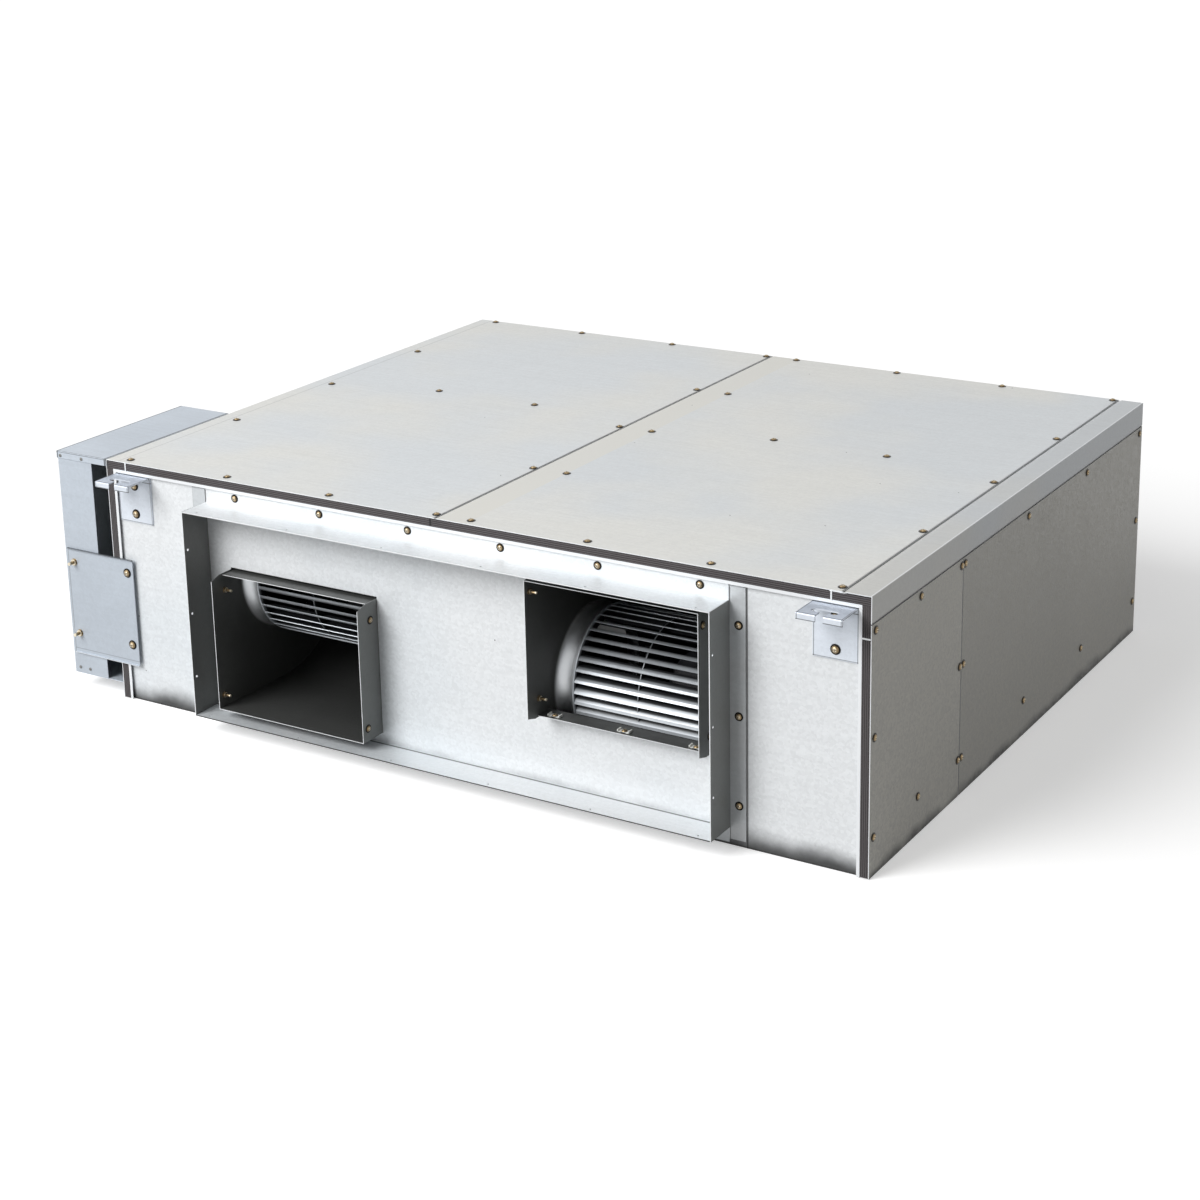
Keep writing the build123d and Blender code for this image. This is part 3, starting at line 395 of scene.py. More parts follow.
@effect(
    "Foam layers",
    {"Light": (0.2, 0.18, 0.18, 1), "Dark": (0.05, 0.045, 0.045, 1), "Way": Z_WAY},
    ("Colour", "Height"),
)
def foam_layers(tree, given):
    """Thin layers of laminated foam along one direction."""
    place = object_place(tree)
    wave = (dot(place, given["Way"]) * 2100.0 + noise(place, 24.0, 2.0) * 2.0).of("SINE")
    pores = noise(place, 420.0, 4.0)
    share = ramp(wave + pores * 1.4, -0.6, 1.8)
    return blend(share, given["Dark"], given["Light"]), wave * 0.4 + pores


def colour(rgb):
    return (*rgb, 1.0)


def scaled(tint, share):
    return tuple(share * part for part in tint)


def new_material(name):
    material = bpy.data.materials.new(name)
    material.use_nodes = True
    return material, material.node_tree.nodes["Principled BSDF"]


def set_surface(shader, base, roughness, metallic, height, distance, strength=0.5):
    """Set a shader's colour, roughness, metal share and bump."""
    bump = {"Height": height, "Distance": distance, "Strength": strength}
    normal = flow(shader.id_data, "ShaderNodeBump", bump)
    set_inputs(shader, {"Base Color": base, "Roughness": roughness, "Metallic": metallic, "Normal": normal})


def sheet_material(name, cool, warm, **look):
    """Galvanised sheet.

    thin_way paints a highlight on cut edges, edge_y on those in front of a plane, shaded_way with dull
    paints shade on the faces that look along it, low_shade is painted shade low down, soot painted shade
    deep inside, band is a strip of another tone, lines are seams, folds and painted shadow and highlight
    lines across the sheet, pins are small marks, and ring paints a tone round an axis: a highlight on inlet
    bells, shade deep in wheels.
    """
    material, shader = new_material(name)
    tree = shader.id_data
    share = {"Patches": look.get("patches", 2.2), "Crystals": look.get("crystals", 0.03)}
    share["Mottle"] = look.get("mottle", 0.04)
    base, roughness, height = zinc_coat(tree, {"Cool": colour(cool), "Warm": colour(warm), **share})
    covers = []
    # Painted shade on the faces that look along one direction.
    if "shaded_way" in look:
        base = blend(facing(tree, {"Way": look["shaded_way"]}), base, colour(look["dull"]), "MULTIPLY")
    if "band" in look:
        way, start, end, tone = look["band"]
        covers.append((straight_band(tree, {"Way": way, "From": start, "To": end}), tone, 0.85))
    if "pins" in look:
        covers.append((pin_marks(tree), SEAM_AND_SHADOW, look["pins"]))
    # Painted shade deep inside, growing from a front plane.
    if "soot" in look:
        front, back, strength = look["soot"]
        covers.append((soot_by_depth(tree, {"Front": front, "Back": back}), PAINTED_SHADE, strength))
    # Painted shade low on a wall.
    if "low_shade" in look:
        floor, reach, strength = look["low_shade"]
        covers.append((low_painted_shade(tree, {"Floor": floor, "Reach": reach}), PAINTED_SHADE, strength))
    for way, place, width, strength, *tone in look.get("lines", ()):
        line = line_mask(tree, {"Way": way, "Place": place, "Width": width})
        covers.append((line, tone[0] if tone else SEAM_AND_SHADOW, strength))
    # Painted highlights on cut edges and on edges in front of a plane.
    if "thin_way" in look:
        covers.append((cut_edge(tree, {"Thin Way": look["thin_way"]}), EDGE_HIGHLIGHT, 1.0))
    if "edge_y" in look:
        covers.append((front_edge(tree, {"Plane": look["edge_y"]}), EDGE_HIGHLIGHT, 1.0))
    metallic = look.get("metallic", 0.25)
    # A tone round an axis: a painted highlight on the blowers' inlet bells, painted shade deep in the
    # wheels.
    if "ring" in look:
        axis_y, axis_z, near, far, tone, shine = look["ring"]
        mask = near_axis(tree, {"Axis Y": axis_y, "Axis Z": axis_z, "Near": near, "Far": far})
        covers.append((mask, tone, 1.0))
        metallic = metallic + mask * (shine - metallic)
    for mask, tone, strength in covers:
        base = blend(mask * strength, base, colour(tone))
    set_surface(shader, base, roughness, metallic, height, look.get("relief", 0.00008))
    return material


def grain_material(name, base, grain=300.0, tone=0.15, metallic=0.0, distance=0.0001):
    """Painted, moulded or drawn surface with a fine grain."""
    material, shader = new_material(name)
    values = {"Base": colour(base), "Grain": grain, "Tone": tone}
    tint, height, roughness = fine_grain(shader.id_data, values)
    set_surface(shader, tint, roughness, metallic, height, distance)
    return material


def foam_material(name, way, joint=None):
    """Laminated foam, with a dark butt joint across it at a place along X."""
    material, shader = new_material(name)
    tree = shader.id_data
    tint, height = foam_layers(tree, {"Light": colour(FOAM_LIGHT), "Dark": colour(FOAM_DARK), "Way": way})
    if joint is not None:
        tint = blend(line_mask(tree, {"Way": X_WAY, "Place": joint, "Width": 0.003}), tint, colour(SEAM_AND_SHADOW))
    set_surface(shader, tint, 0.95, 0.0, height, 0.0004, 0.8)
    return material


def screw_material(name, tint):
    """Yellow zinc plating with random dark spots, a painted highlight on the crown of a head, painted shade
    round its foot, and a dark washer that is partly painted shadow.
    """
    material, shader = new_material(name)
    tree = shader.id_data
    base, height, _ = fine_grain(tree, {"Base": colour(tint), "Grain": 700.0, "Tone": 0.5})
    spots = noise(object_place(tree), 260.0, 3.0)
    base = blend(ramp(spots, 0.35, 0.75), base, colour(scaled(tint, 0.4)))
    rise = flow(tree, "ShaderNodeAttribute", None, "Fac", attribute_name="rise")
    # Painted highlight on the crown.
    base = blend(ramp(rise, 0.7, 1.0), base, colour((0.80, 0.72, 0.56)))
    # Painted shade round the foot and on the washer.
    base = blend(ramp(rise, 0.12, 0.6), colour((0.016, 0.014, 0.012)), base)
    set_surface(shader, base, 0.34, 0.8, height, 0.00006)
    return material


def dress(names, material):
    """Give CAD nodes, named in one string, a material."""
    for name in names.split():
        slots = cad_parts[name].data.materials
        slots.clear()
        slots.append(material)


def clad(names, material_name, cool, warm, **look):
    """Give CAD nodes galvanised sheet of their own."""
    dress(names, sheet_material(material_name, cool, warm, **look))


# Geometry helpers
def linked(name, mesh):
    """New object of a mesh in the scene."""
    piece = bpy.data.objects.new(name, mesh)
    bpy.context.scene.collection.objects.link(piece)
    return piece


def plain_mesh(source, name):
    """Evaluated copy of an object as a plain mesh object; the source goes."""
    graph = bpy.context.evaluated_depsgraph_get()
    mesh = bpy.data.meshes.new_from_object(source.evaluated_get(graph))
    bpy.data.objects.remove(source)
    mesh.name = name
    return linked(name, mesh)


def node_result(name, tree, values, start_mesh=None):
    """Run a Geometry Nodes tree on a mesh and give the plain mesh that it makes."""
    carrier = linked(name + "_carrier", start_mesh or bpy.data.meshes.new(name))
    modifier = carrier.modifiers.new("Maker", "NODES")
    modifier.node_group = tree
    for item in tree.interface.items_tree:
        if item.item_type == "SOCKET" and item.in_out == "INPUT" and item.name in values:
            modifier[item.identifier] = values[item.name]
    piece = plain_mesh(carrier, name)
    if not piece.data.vertices:
        raise RuntimeError(name + " came out empty")
    return piece


def finish_mesh(piece):
    """Turn every closed island's faces outward."""
    work = bmesh.new()
    work.from_mesh(piece.data)
    bmesh.ops.recalc_face_normals(work, faces=work.faces)
    work.to_mesh(piece.data)
    work.free()


def box_mesh(name, boxes):
    """Closed boxes from their lowest and highest corners, as one object."""
    work = bmesh.new()
    for low, high in boxes:
        size = [last - first for first, last in zip(low, high)]
        stretch = Matrix.Diagonal((*size, 1.0))
        bmesh.ops.create_cube(work, size=1.0, matrix=Matrix.Translation(middle_of(low, high)) @ stretch)
    mesh = bpy.data.meshes.new(name)
    work.to_mesh(mesh)
    work.free()
    return linked(name, mesh)


def middle_of(low, high):
    return [(first + last) / 2 for first, last in zip(low, high)]


def islands(mesh):
    """Connected pieces of a mesh as (lowest, highest) corners, its doubled vertices merged first."""
    work = bmesh.new()
    work.from_mesh(mesh)
    bmesh.ops.remove_doubles(work, verts=work.verts, dist=0.00001)
    left = set(work.verts)
    found = []
    while left:
        stack = [left.pop()]
        low = stack[0].co.copy()
        high = low.copy()
        while stack:
            vertex = stack.pop()
            for axis in range(3):
                low[axis] = min(low[axis], vertex.co[axis])
                high[axis] = max(high[axis], vertex.co[axis])
            for edge in vertex.link_edges:
                other = edge.other_vert(vertex)
                if other in left:
                    left.discard(other)
                    stack.append(other)
        found.append((low, high))
    work.free()
    return found


def join(*pieces):
    joined = pieces[0].tree.nodes.new("GeometryNodeJoinGeometry")
    for piece in pieces:
        piece.tree.links.new(piece.socket, joined.inputs[0])
    return Flow(joined.outputs[0])


def moved(mesh, **how):
    return flow(mesh.tree, "GeometryNodeTransform", {"Geometry": mesh, **how})


def on_points(points, shape, turn=None, chosen=None):
    """Copies of a shape on points, turned, on the chosen ones only."""
    inputs = {"Points": points, "Instance": shape, "Rotation": turn, "Selection": chosen}
    inputs = {key: value for key, value in inputs.items() if value is not None}
    return flow(points.tree, "GeometryNodeInstanceOnPoints", inputs)


def close_tree(out, geometry, material):
    """End a geometry tree in plain geometry with a material."""
    real = flow(geometry.tree, "GeometryNodeRealizeInstances", {0: geometry})
    painted = flow(geometry.tree, "GeometryNodeSetMaterial", {"Geometry": real, "Material": material})
    set_inputs(out, {0: painted})


# Sizes and colours that a user would change
class SheetSettings(bpy.types.PropertyGroup):
    """Tints of the galvanised sheet."""

    cool: bpy.props.FloatVectorProperty(
        name="Cool tint",
        description="Zinc where it looks bluish",
        subtype="COLOR",
        default=(0.70, 0.73, 0.75),
    )
    warm: bpy.props.FloatVectorProperty(
        name="Warm tint",
        description="Zinc where it looks creamy",
        subtype="COLOR",
        default=(0.75, 0.75, 0.72),
    )
    front_cool: bpy.props.FloatVectorProperty(
        name="Front cool tint",
        description="Bluish zinc of the front plate",
        subtype="COLOR",
        default=(0.735, 0.77, 0.795),
    )
    front_warm: bpy.props.FloatVectorProperty(
        name="Front warm tint",
        description="Pale zinc of the front plate",
        subtype="COLOR",
        default=(0.79, 0.81, 0.825),
    )
    # Darker partly as painted shade, for the side panels that face away from the lamp.
    side: bpy.props.FloatVectorProperty(
        name="Side tint",
        description="Weathered zinc of the side panels",
        subtype="COLOR",
        default=(0.47, 0.46, 0.42),
    )
    bracket: bpy.props.FloatVectorProperty(
        name="Bracket tint",
        description="Bright zinc of the hanger brackets",
        subtype="COLOR",
        default=(0.74, 0.79, 0.86),
    )
    box: bpy.props.FloatVectorProperty(
        name="Box tint",
        description="Zinc of the electrical box",
        subtype="COLOR",
        default=(0.50, 0.55, 0.61),
    )
    blower: bpy.props.FloatVectorProperty(
        name="Blower tint",
        description="Zinc of the blower housings",
        subtype="COLOR",
        default=(0.15, 0.155, 0.15),
    )


class ScrewSettings(bpy.types.PropertyGroup):
    """Shape of the sheet screws."""

    radius: bpy.props.FloatProperty(
        name="Head radius", description="Radius of a pan head", default=0.0050, unit="LENGTH"
    )
    height: bpy.props.FloatProperty(
        name="Head height", description="Height of a pan head", default=0.0036, unit="LENGTH"
    )
    slot: bpy.props.FloatProperty(
        name="Slot width", description="Width of the crossed driver slots", default=0.0011, unit="LENGTH"
    )
    rivet: bpy.props.FloatProperty(
        name="Rivet radius",
        description="Radius of the electrical box's small rivets",
        default=0.0022,
        unit="LENGTH",
    )
    # The dark washer is partly painted shadow round the head.
    rim: bpy.props.FloatProperty(
        name="Rim",
        description="Width of the dark sealing washer that shows round a head",
        default=0.0018,
        unit="LENGTH",
    )
    stud: bpy.props.FloatProperty(
        name="Stud length",
        description="Length of the screws that stand out of the sheet",
        default=0.0135,
        unit="LENGTH",
    )
    tint: bpy.props.FloatVectorProperty(
        name="Yellow zinc",
        description="Colour of the plated screws",
        subtype="COLOR",
        default=(0.36, 0.26, 0.14),
    )


class FanSettings(bpy.types.PropertyGroup):
    """Shape of the blower wheels."""

    blades: bpy.props.IntProperty(
        name="Blades", description="Blades round each wheel", default=40, min=8, max=80
    )
    chord: bpy.props.FloatProperty(
        name="Blade depth", description="Radial depth of a blade", default=0.0162, unit="LENGTH"
    )
    lean: bpy.props.FloatProperty(
        name="Lean",
        description="Turn of a blade's outer edge ahead of its inner edge",
        default=math.radians(7),
        subtype="ANGLE",
    )
    gauge: bpy.props.FloatProperty(
        name="Blade gauge", description="Thickness of a blade's sheet", default=0.0009, unit="LENGTH"
    )
    tint: bpy.props.FloatVectorProperty(
        name="Wheel tint",
        description="Bright zinc of the wheels",
        subtype="COLOR",
        default=(0.50, 0.53, 0.56),
    )
    # The inner tint is painted shade deep inside each wheel, at the blades' inner edges.
    inside: bpy.props.FloatVectorProperty(
        name="Inner tint",
        description="Dusty zinc of the blades' inner edges",
        subtype="COLOR",
        default=(0.018, 0.019, 0.021),
    )


class CoilSettings(bpy.types.PropertyGroup):
    """Fin pack of the coil."""

    pitch: bpy.props.FloatProperty(
        name="Fin pitch", description="Distance between fins", default=0.003, unit="LENGTH"
    )
    gauge: bpy.props.FloatProperty(
        name="Fin gauge", description="Thickness of a fin", default=0.0005, unit="LENGTH"
    )
    depth: bpy.props.FloatProperty(
        name="Coil depth", description="Thickness of the fin pack", default=0.066, unit="LENGTH"
    )
    tilt: bpy.props.FloatProperty(
        name="Tilt",
        description="Lean of the coil from the vertical",
        default=math.radians(32),
        subtype="ANGLE",
    )


class StageSettings(bpy.types.PropertyGroup):
    """Lamps and floor."""

    key: bpy.props.FloatProperty(
        name="Key lamp", description="Power of the main lamp", default=640.0, unit="POWER"
    )
    sky: bpy.props.FloatProperty(name="Sky", description="Strength of the plain surroundings", default=0.24)
    bounce: bpy.props.FloatVectorProperty(
        name="Floor",
        description="Colour that the floor throws back",
        subtype="COLOR",
        default=(0.20, 0.20, 0.20),
    )


# Sheet metal. A line is (direction, place, width, strength) and may end in a tone.
def clad_top(look):
    """Top panels with their seams, painted shade at the left fold and on the joggled strip, and the corner
    rail.
    """
    seam_x, rail_x = (corner[0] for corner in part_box("top_panel_right"))
    lines = [(X_WAY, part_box("top_panel_left")[1][0], 0.0046, 1.0), (X_WAY, LEFT_FOLD_X, 0.0014, 0.35)]
    clad("top_panel_left", "zinc_top_left", look.cool, look.warm, thin_way=Z_WAY, pins=0.8, lines=lines)
    more = {
        "band": (X_WAY, seam_x, seam_x + OVERLAP_WIDTH, JOGGLE_SHADE),
        "lines": [(X_WAY, seam_x, 0.0026, 1.0), (X_WAY, rail_x, 0.0040, 1.0)],
    }
    tints = scaled(look.cool, 0.98), look.warm
    clad("top_panel_right", "zinc_top_right", *tints, thin_way=Z_WAY, pins=0.8, **more)
    (_, _, rail_low), (rail_end, _, _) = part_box("top_rail_right")
    lines = [
        (X_WAY, rail_x, 0.0022, 1.0),
        # Painted highlight along the rail's fold.
        (X_WAY, rail_end - 0.0017, 0.0016, 0.9, EDGE_HIGHLIGHT),
        (Z_WAY, rail_low, 0.0022, 0.85),
    ]
    tints = scaled(look.cool, 0.80), scaled(look.warm, 0.78)
    clad("top_rail_right", "zinc_rail", *tints, edge_y=RAIL_EDGE_Y, lines=lines)


def clad_front(look):
    """Front plate and duct frame, with the dark gaps between them, painted shade and shadow, and painted
    highlights on front edges.
    """
    (plate_left, plate_front, _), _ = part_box("front_plate")
    (_, beam_front, top_low), (_, _, top_high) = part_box("duct_frame_top")
    # The line right of the right upright and the one along the plate's bottom are painted shadow; the
    # others are dark gaps.
    lines = [
        (X_WAY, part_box("duct_frame_right")[1][0] + 0.0015, 0.0024, 0.9),
        (X_WAY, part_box("duct_frame_left")[0][0] - 0.001, 0.0016, 0.6),
        (X_WAY, plate_left + 0.0005, 0.0045, 0.8),
        (Z_WAY, top_high + 0.0005, 0.0014, 0.5),
        (Z_WAY, 0.0, 0.004, 0.9),
    ]
    # Painted shade low on the plate, and a painted highlight on its front edges.
    more = {"low_shade": (-0.002, 0.042, 0.95), "pins": 0.7, "edge_y": PLATE_EDGE_Y, "lines": lines}
    clad("front_plate", "zinc_front", look.front_cool, look.front_warm, mottle=0.012, crystals=0.05, **more)
    # Painted highlight on the top beam's front edge.
    top = {"edge_y": beam_front + 0.0005, "lines": [(Z_WAY, top_low, 0.0012, 0.5)]}
    # Dark lines at the bottom beam's foot, on its front edge and where it meets the plate: painted shadow.
    bottom = {
        "lines": [
            (Z_WAY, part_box("duct_frame_bottom")[0][2], 0.0022, 1.0),
            (Y_WAY, beam_front, 0.0010, 1.0),
            (Y_WAY, plate_front - 0.0016, 0.0032, 1.0),
        ]
    }
    plain = {"mottle": 0.012, "crystals": 0.04, "patches": 4.0}
    # The bottom beam is a darker copy of the top one: painted shade.
    for beam, share, more in (("top", 1.02, top), ("bottom", 0.84, bottom)):
        tints = scaled(look.front_cool, share), scaled(look.front_warm, share)
        clad("duct_frame_" + beam, "zinc_beam_" + beam, *tints, **plain, **more)
    tints = scaled(look.front_cool, 0.80), scaled(look.front_warm, 0.76)
    # The uprights' faces that look along X are darkened: painted shade, deeper on the left upright.
    for hand, dull in (("left", 0.24), ("right", 0.38)):
        more = {"shaded_way": X_WAY, "dull": (dull, dull, 0.95 * dull), "edge_y": FRAME_EDGE_Y}
        clad("duct_frame_" + hand, "zinc_upright_" + hand, *tints, patches=5.0, **more)


def clad_brackets(look):
    """Hanger brackets, the front ones with painted shade along their edges and folds and on faces that look
    along Z, and the motors' spiders.
    """
    tints = scaled(look.bracket, 0.95), look.bracket
    plain = "hanger_rear_left hanger_rear_right left_motor_bracket right_motor_bracket"
    clad(plain, "zinc_bracket", *tints, patches=9.0, metallic=0.3)
    for name in ("hanger_front_left", "hanger_front_right"):
        (low_x, low_y, low_z), (high_x, high_y, high_z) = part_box(name)
        # Dark lines along the edges and folds, and darker faces along Z: painted shade.
        lines = [
            (X_WAY, low_x + 0.0014, 0.0011, 0.75),
            (X_WAY, high_x - 0.0014, 0.0011, 0.75),
            (Y_WAY, low_y + 0.0018, 0.0012, 0.8),
            (Y_WAY, high_y - 0.0048, 0.0013, 0.8),
            (Z_WAY, high_z - 0.0094, 0.0011, 0.9),
            (Z_WAY, low_z + 0.0012, 0.0010, 0.7),
        ]
        more = {"shaded_way": Z_WAY, "dull": (0.78, 0.80, 0.84), "lines": lines}
        clad(name, "zinc_" + name, *tints, patches=9.0, metallic=0.3, **more)


def clad_sides(look):
    """Side panels, the right ones with the rail's shadow and the joint between them."""
    joint_y = (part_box("side_panel_right_front")[1][1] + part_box("side_panel_right_rear")[0][1]) / 2
    lines = [(Z_WAY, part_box("top_rail_right")[0][2], 0.0032, 0.85), (Y_WAY, joint_y, 0.0026, 0.9)]
    # Painted shade low on the panels, and a painted highlight on their cut edges.
    more = {"low_shade": (0.0, 0.022, 0.95), "crystals": 0.16, "mottle": 0.08, "lines": lines}
    for end, share in (("front", 1.05), ("rear", 0.86)):
        tints = scaled(look.side, share), scaled(look.side, 0.93 * share)
        clad("side_panel_right_" + end, "zinc_side_" + end, *tints, thin_way=X_WAY, **more)
    tints = scaled(look.cool, 0.85), scaled(look.warm, 0.82)
    clad("side_panel_left_front side_panel_left_rear", "zinc_left", *tints, thin_way=X_WAY)


def clad_box(look):
    """Electrical box, its lid and the wiring cover, with dark outlines."""
    clad("side_box", "zinc_box", scaled(look.box, 0.96), scaled(look.box, 1.05), patches=4.0)
    (box_x, box_y, _), (lid_x, _, lid_z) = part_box("side_box_lid")
    lines = [
        (Y_WAY, box_y + 0.0014, 0.0013, 0.9),
        (Z_WAY, lid_z - 0.0014, 0.0013, 0.7),
        (X_WAY, lid_x - 0.0022, 0.0024, 0.95),
        (X_WAY, box_x + 0.0018, 0.0017, 0.9),
    ]
    tints = scaled(look.box, 1.05), scaled(look.box, 1.14)
    clad("side_box_lid", "zinc_lid", *tints, patches=4.0, pins=0.8, lines=lines)
    (cover_left, _, cover_low), (cover_right, _, cover_high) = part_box("wiring_cover")
    lines = [
        (Z_WAY, cover_high, 0.0020, 0.8),
        (X_WAY, cover_left, 0.0016, 0.7),
        (X_WAY, cover_right, 0.0014, 0.5),
        (Z_WAY, cover_low + 0.0075, 0.0010, 0.45),
        # Painted highlight along the cover's bottom edge.
        (Z_WAY, cover_low, 0.0016, 0.8, EDGE_HIGHLIGHT),
    ]
    tints = scaled(look.box, 0.96), scaled(look.box, 1.03)
    clad("wiring_cover", "zinc_cover", *tints, patches=5.0, lines=lines)


class UNIT_OT_sheet_metal(bpy.types.Operator):
    """Dress the casing, brackets, duct frame and electrical box in galvanised sheet"""

    bl_idname = "unit.sheet_metal"
    bl_label = "Galvanised sheet"

    def execute(self, context):
        for clad_part in (clad_top, clad_front, clad_brackets, clad_sides, clad_box):
            clad_part(context.scene.unit_sheet)
        hidden = "bottom_panel rear_panel suction_frame coil_end_left coil_end_right"
        clad(hidden, "zinc_under", (0.50, 0.52, 0.53), (0.52, 0.52, 0.49))
        return {"FINISHED"}


class UNIT_OT_foam_lining(bpy.types.Operator):
    """Dress the foam lining in thin dark layers, and clip it to the sheet"""

    bl_idname = "unit.foam_lining"
    bl_label = "Foam lining"

    def execute(self, context):
        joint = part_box("top_panel_right")[0][0] - FOAM_JOINT_FROM_SEAM
        dress("insulation_top insulation_floor", foam_material("foam_flat", Z_WAY, joint))
        dress("insulation_left insulation_right", foam_material("foam_upright", X_WAY))
        (_, face, foam_low), (_, _, foam_high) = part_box("insulation_top")
        side_low, side_high = (corner[0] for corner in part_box("insulation_right"))
        half = FOAM_CLIP_HALF_WIDTH
        spans = [(x - half, x + half, foam_low - 0.001, foam_high) for x in FOAM_CLIP_X]
        spans.append((side_low - 0.001, side_high, *FOAM_CLIP_Z))
        boxes = [((x0, face - 0.0007, z0), (x1, face - 0.0001, z1)) for x0, x1, z0, z1 in spans]
        clips = box_mesh("foam_clips", boxes)
        clips.data.materials.append(grain_material("clip_zinc", (0.85, 0.87, 0.88), 300.0, 0.1, 0.2))
        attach(clips, CASING)
        return {"FINISHED"}


class UNIT_OT_blower_housings(bpy.types.Operator):
    """Dress the blower housings, cutoff lips and motors, with painted shade and highlights on the housings
    """

    bl_idname = "unit.blower_housings"
    bl_label = "Blower housings"

    def execute(self, context):
        tint = tuple(context.scene.unit_sheet.blower)
        # Painted highlight on the front edges of the collars and lips.
        collar = {"patches": 6.0, "edge_y": COLLAR_EDGE_Y}
        dark = scaled(tint, 0.42), scaled(tint, 0.38)
        # Painted shade that deepens into the housings.
        soot = (-0.60, -0.44, 0.55)
        clad("left_scroll right_scroll", "zinc_scroll", *dark, pins=0.4, soot=soot, **collar)
        dark = scaled(tint, 0.5), scaled(tint, 0.42)
        clad("left_cutoff_lip right_cutoff_lip", "zinc_lip", *dark, patches=8.0, edge_y=LIP_EDGE_Y)
        for side in BLOWERS:
            _, *axis = middle_of(*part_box(side + "_fan_wheel"))
            # On the side plates: painted shade on the faces along X and deeper inside, and a painted
            # highlight on the inlet bell round the wheel's axis.
            more = {
                "shaded_way": X_WAY,
                "dull": (0.85, 0.85, 0.85),
                "soot": (-0.60, -0.50, 0.4),
                "ring": (*axis, 0.1045, 0.1095, (0.66, 0.68, 0.70), 0.9),
            }
            tints = scaled(tint, 1.05), scaled(tint, 0.97)
            clad(side + "_blower_side_outer", "zinc_collar_inside_" + side, *tints, **collar, **more)
            more = {"soot": (-0.56, -0.48, 0.8), "ring": (*axis, 0.114, 0.117, (0.30, 0.31, 0.32), 0.85)}
            tints = scaled(tint, 1.1), tint
            clad(side + "_blower_side_motor", "zinc_collar_outside_" + side, *tints, **collar, **more)
        dress("left_motor right_motor", grain_material("motor_enamel", (0.035, 0.035, 0.04), 500.0, 0.3))
        dress("left_shaft right_shaft", grain_material("ground_steel", (0.6, 0.6, 0.6), 900.0, 0.1, 0.9))
        return {"FINISHED"}


# Fan wheels
def faceted(mesh):
    return flow(mesh.tree, "GeometryNodeSetShadeSmooth", {0: mesh, "Shade Smooth": False})


def thick_sheet(sheet, gauge):
    """Close a sheet into a solid of one gauge along its normals."""
    raising = {"Mesh": sheet, "Offset Scale": gauge, "Individual": False}
    raised = flow(sheet.tree, "GeometryNodeExtrudeMesh", raising)
    back = flow(sheet.tree, "GeometryNodeFlipFaces", {0: sheet})
    both = {"Geometry": join(raised, back), "Distance": 0.00001}
    return flow(sheet.tree, "GeometryNodeMergeByDistance", both)


def turned_ring(tree, low, high, thickness, at_x, fillet):
    """Flat ring about the X axis, its section rounded, between two radii."""
    middle = {"Resolution": 80, "Radius": (low + high) * 0.5}
    circle = flow(tree, "GeometryNodeCurvePrimitiveCircle", middle)
    size = {"Width": high - low, "Height": thickness}
    section = flow(tree, "GeometryNodeCurvePrimitiveQuadrilateral", size)
    bend = {"Curve": section, "Count": 2, "Radius": fillet, "Limit Radius": True}
    rounded = flow(tree, "GeometryNodeFilletCurve", bend, mode="POLY")
    ring = faceted(flow(tree, "GeometryNodeCurveToMesh", {"Curve": circle, "Profile Curve": rounded}))
    return moved(ring, Translation=point_of(tree, at_x, 0.0, 0.0), Rotation=QUARTER_TURN)


def make_wheel_tree():
    """Double-inlet wheel about the X axis: rolled rings, centre disc, hub and forward-curved blades."""
    wanted = {
        "Outer Radius": 0.108,
        "Blade Depth": 0.0162,
        "Half Width": 0.111,
        "Blades": 40,
        "Lean": 0.12,
        "Gauge": 0.0009,
        "Flip": 1.0,
        "Material": MATERIAL,
    }
    tree, given, out = group_tree("Fan wheel", wanted, ["Geometry"], "GeometryNodeTree")
    outer, half = given["Outer Radius"], given["Half Width"]
    inner = outer - given["Blade Depth"]

    def polar(radius, share):
        angle = given["Lean"] * share
        z = radius * angle.of("SINE") * given["Flip"]
        return point_of(tree, 0.0, -(radius * angle.of("COSINE")), z)

    middle = polar((outer + inner) * 0.5, 0.17)
    bow = {"Start": polar(inner, 0.0), "Middle": middle, "End": polar(outer, 1.0)}
    arc = flow(tree, "GeometryNodeCurveArc", {"Resolution": 6, **bow}, mode="POINTS")
    strip = flow(tree, "GeometryNodeCurveToMesh", {"Curve": arc})
    widening = {"Mesh": strip, "Offset": point_of(tree, half * 2.0, 0.0, 0.0), "Offset Scale": 1.0}
    sheet = flow(tree, "GeometryNodeExtrudeMesh", widening, mode="EDGES")
    centred = moved(sheet, Translation=point_of(tree, -half, 0.0, 0.0))
    blade = faceted(thick_sheet(centred, given["Gauge"]))
    points = flow(tree, "GeometryNodePoints", {"Count": given["Blades"]})
    angle = flow(tree, "GeometryNodeInputIndex") * (2 * math.pi / given["Blades"])
    blades = on_points(points, blade, point_of(tree, angle, 0.0, 0.0))

    ring_x = half - 0.0015
    rim = inner - 0.0004, outer + 0.001
    rings = [
        turned_ring(tree, *rim, 0.003, ring_x, 0.0012),
        turned_ring(tree, *rim, 0.003, -ring_x, 0.0012),
        turned_ring(tree, 0.0165, outer - 0.0035, 0.0018, 0.0, 0.0006),
        turned_ring(tree, 0.0085, 0.0195, 0.029, -0.009, 0.002),
        turned_ring(tree, 0.052, 0.058, 0.0045, 0.0, 0.002),
    ]
    close_tree(out, join(blades, *rings), given["Material"])
    return tree


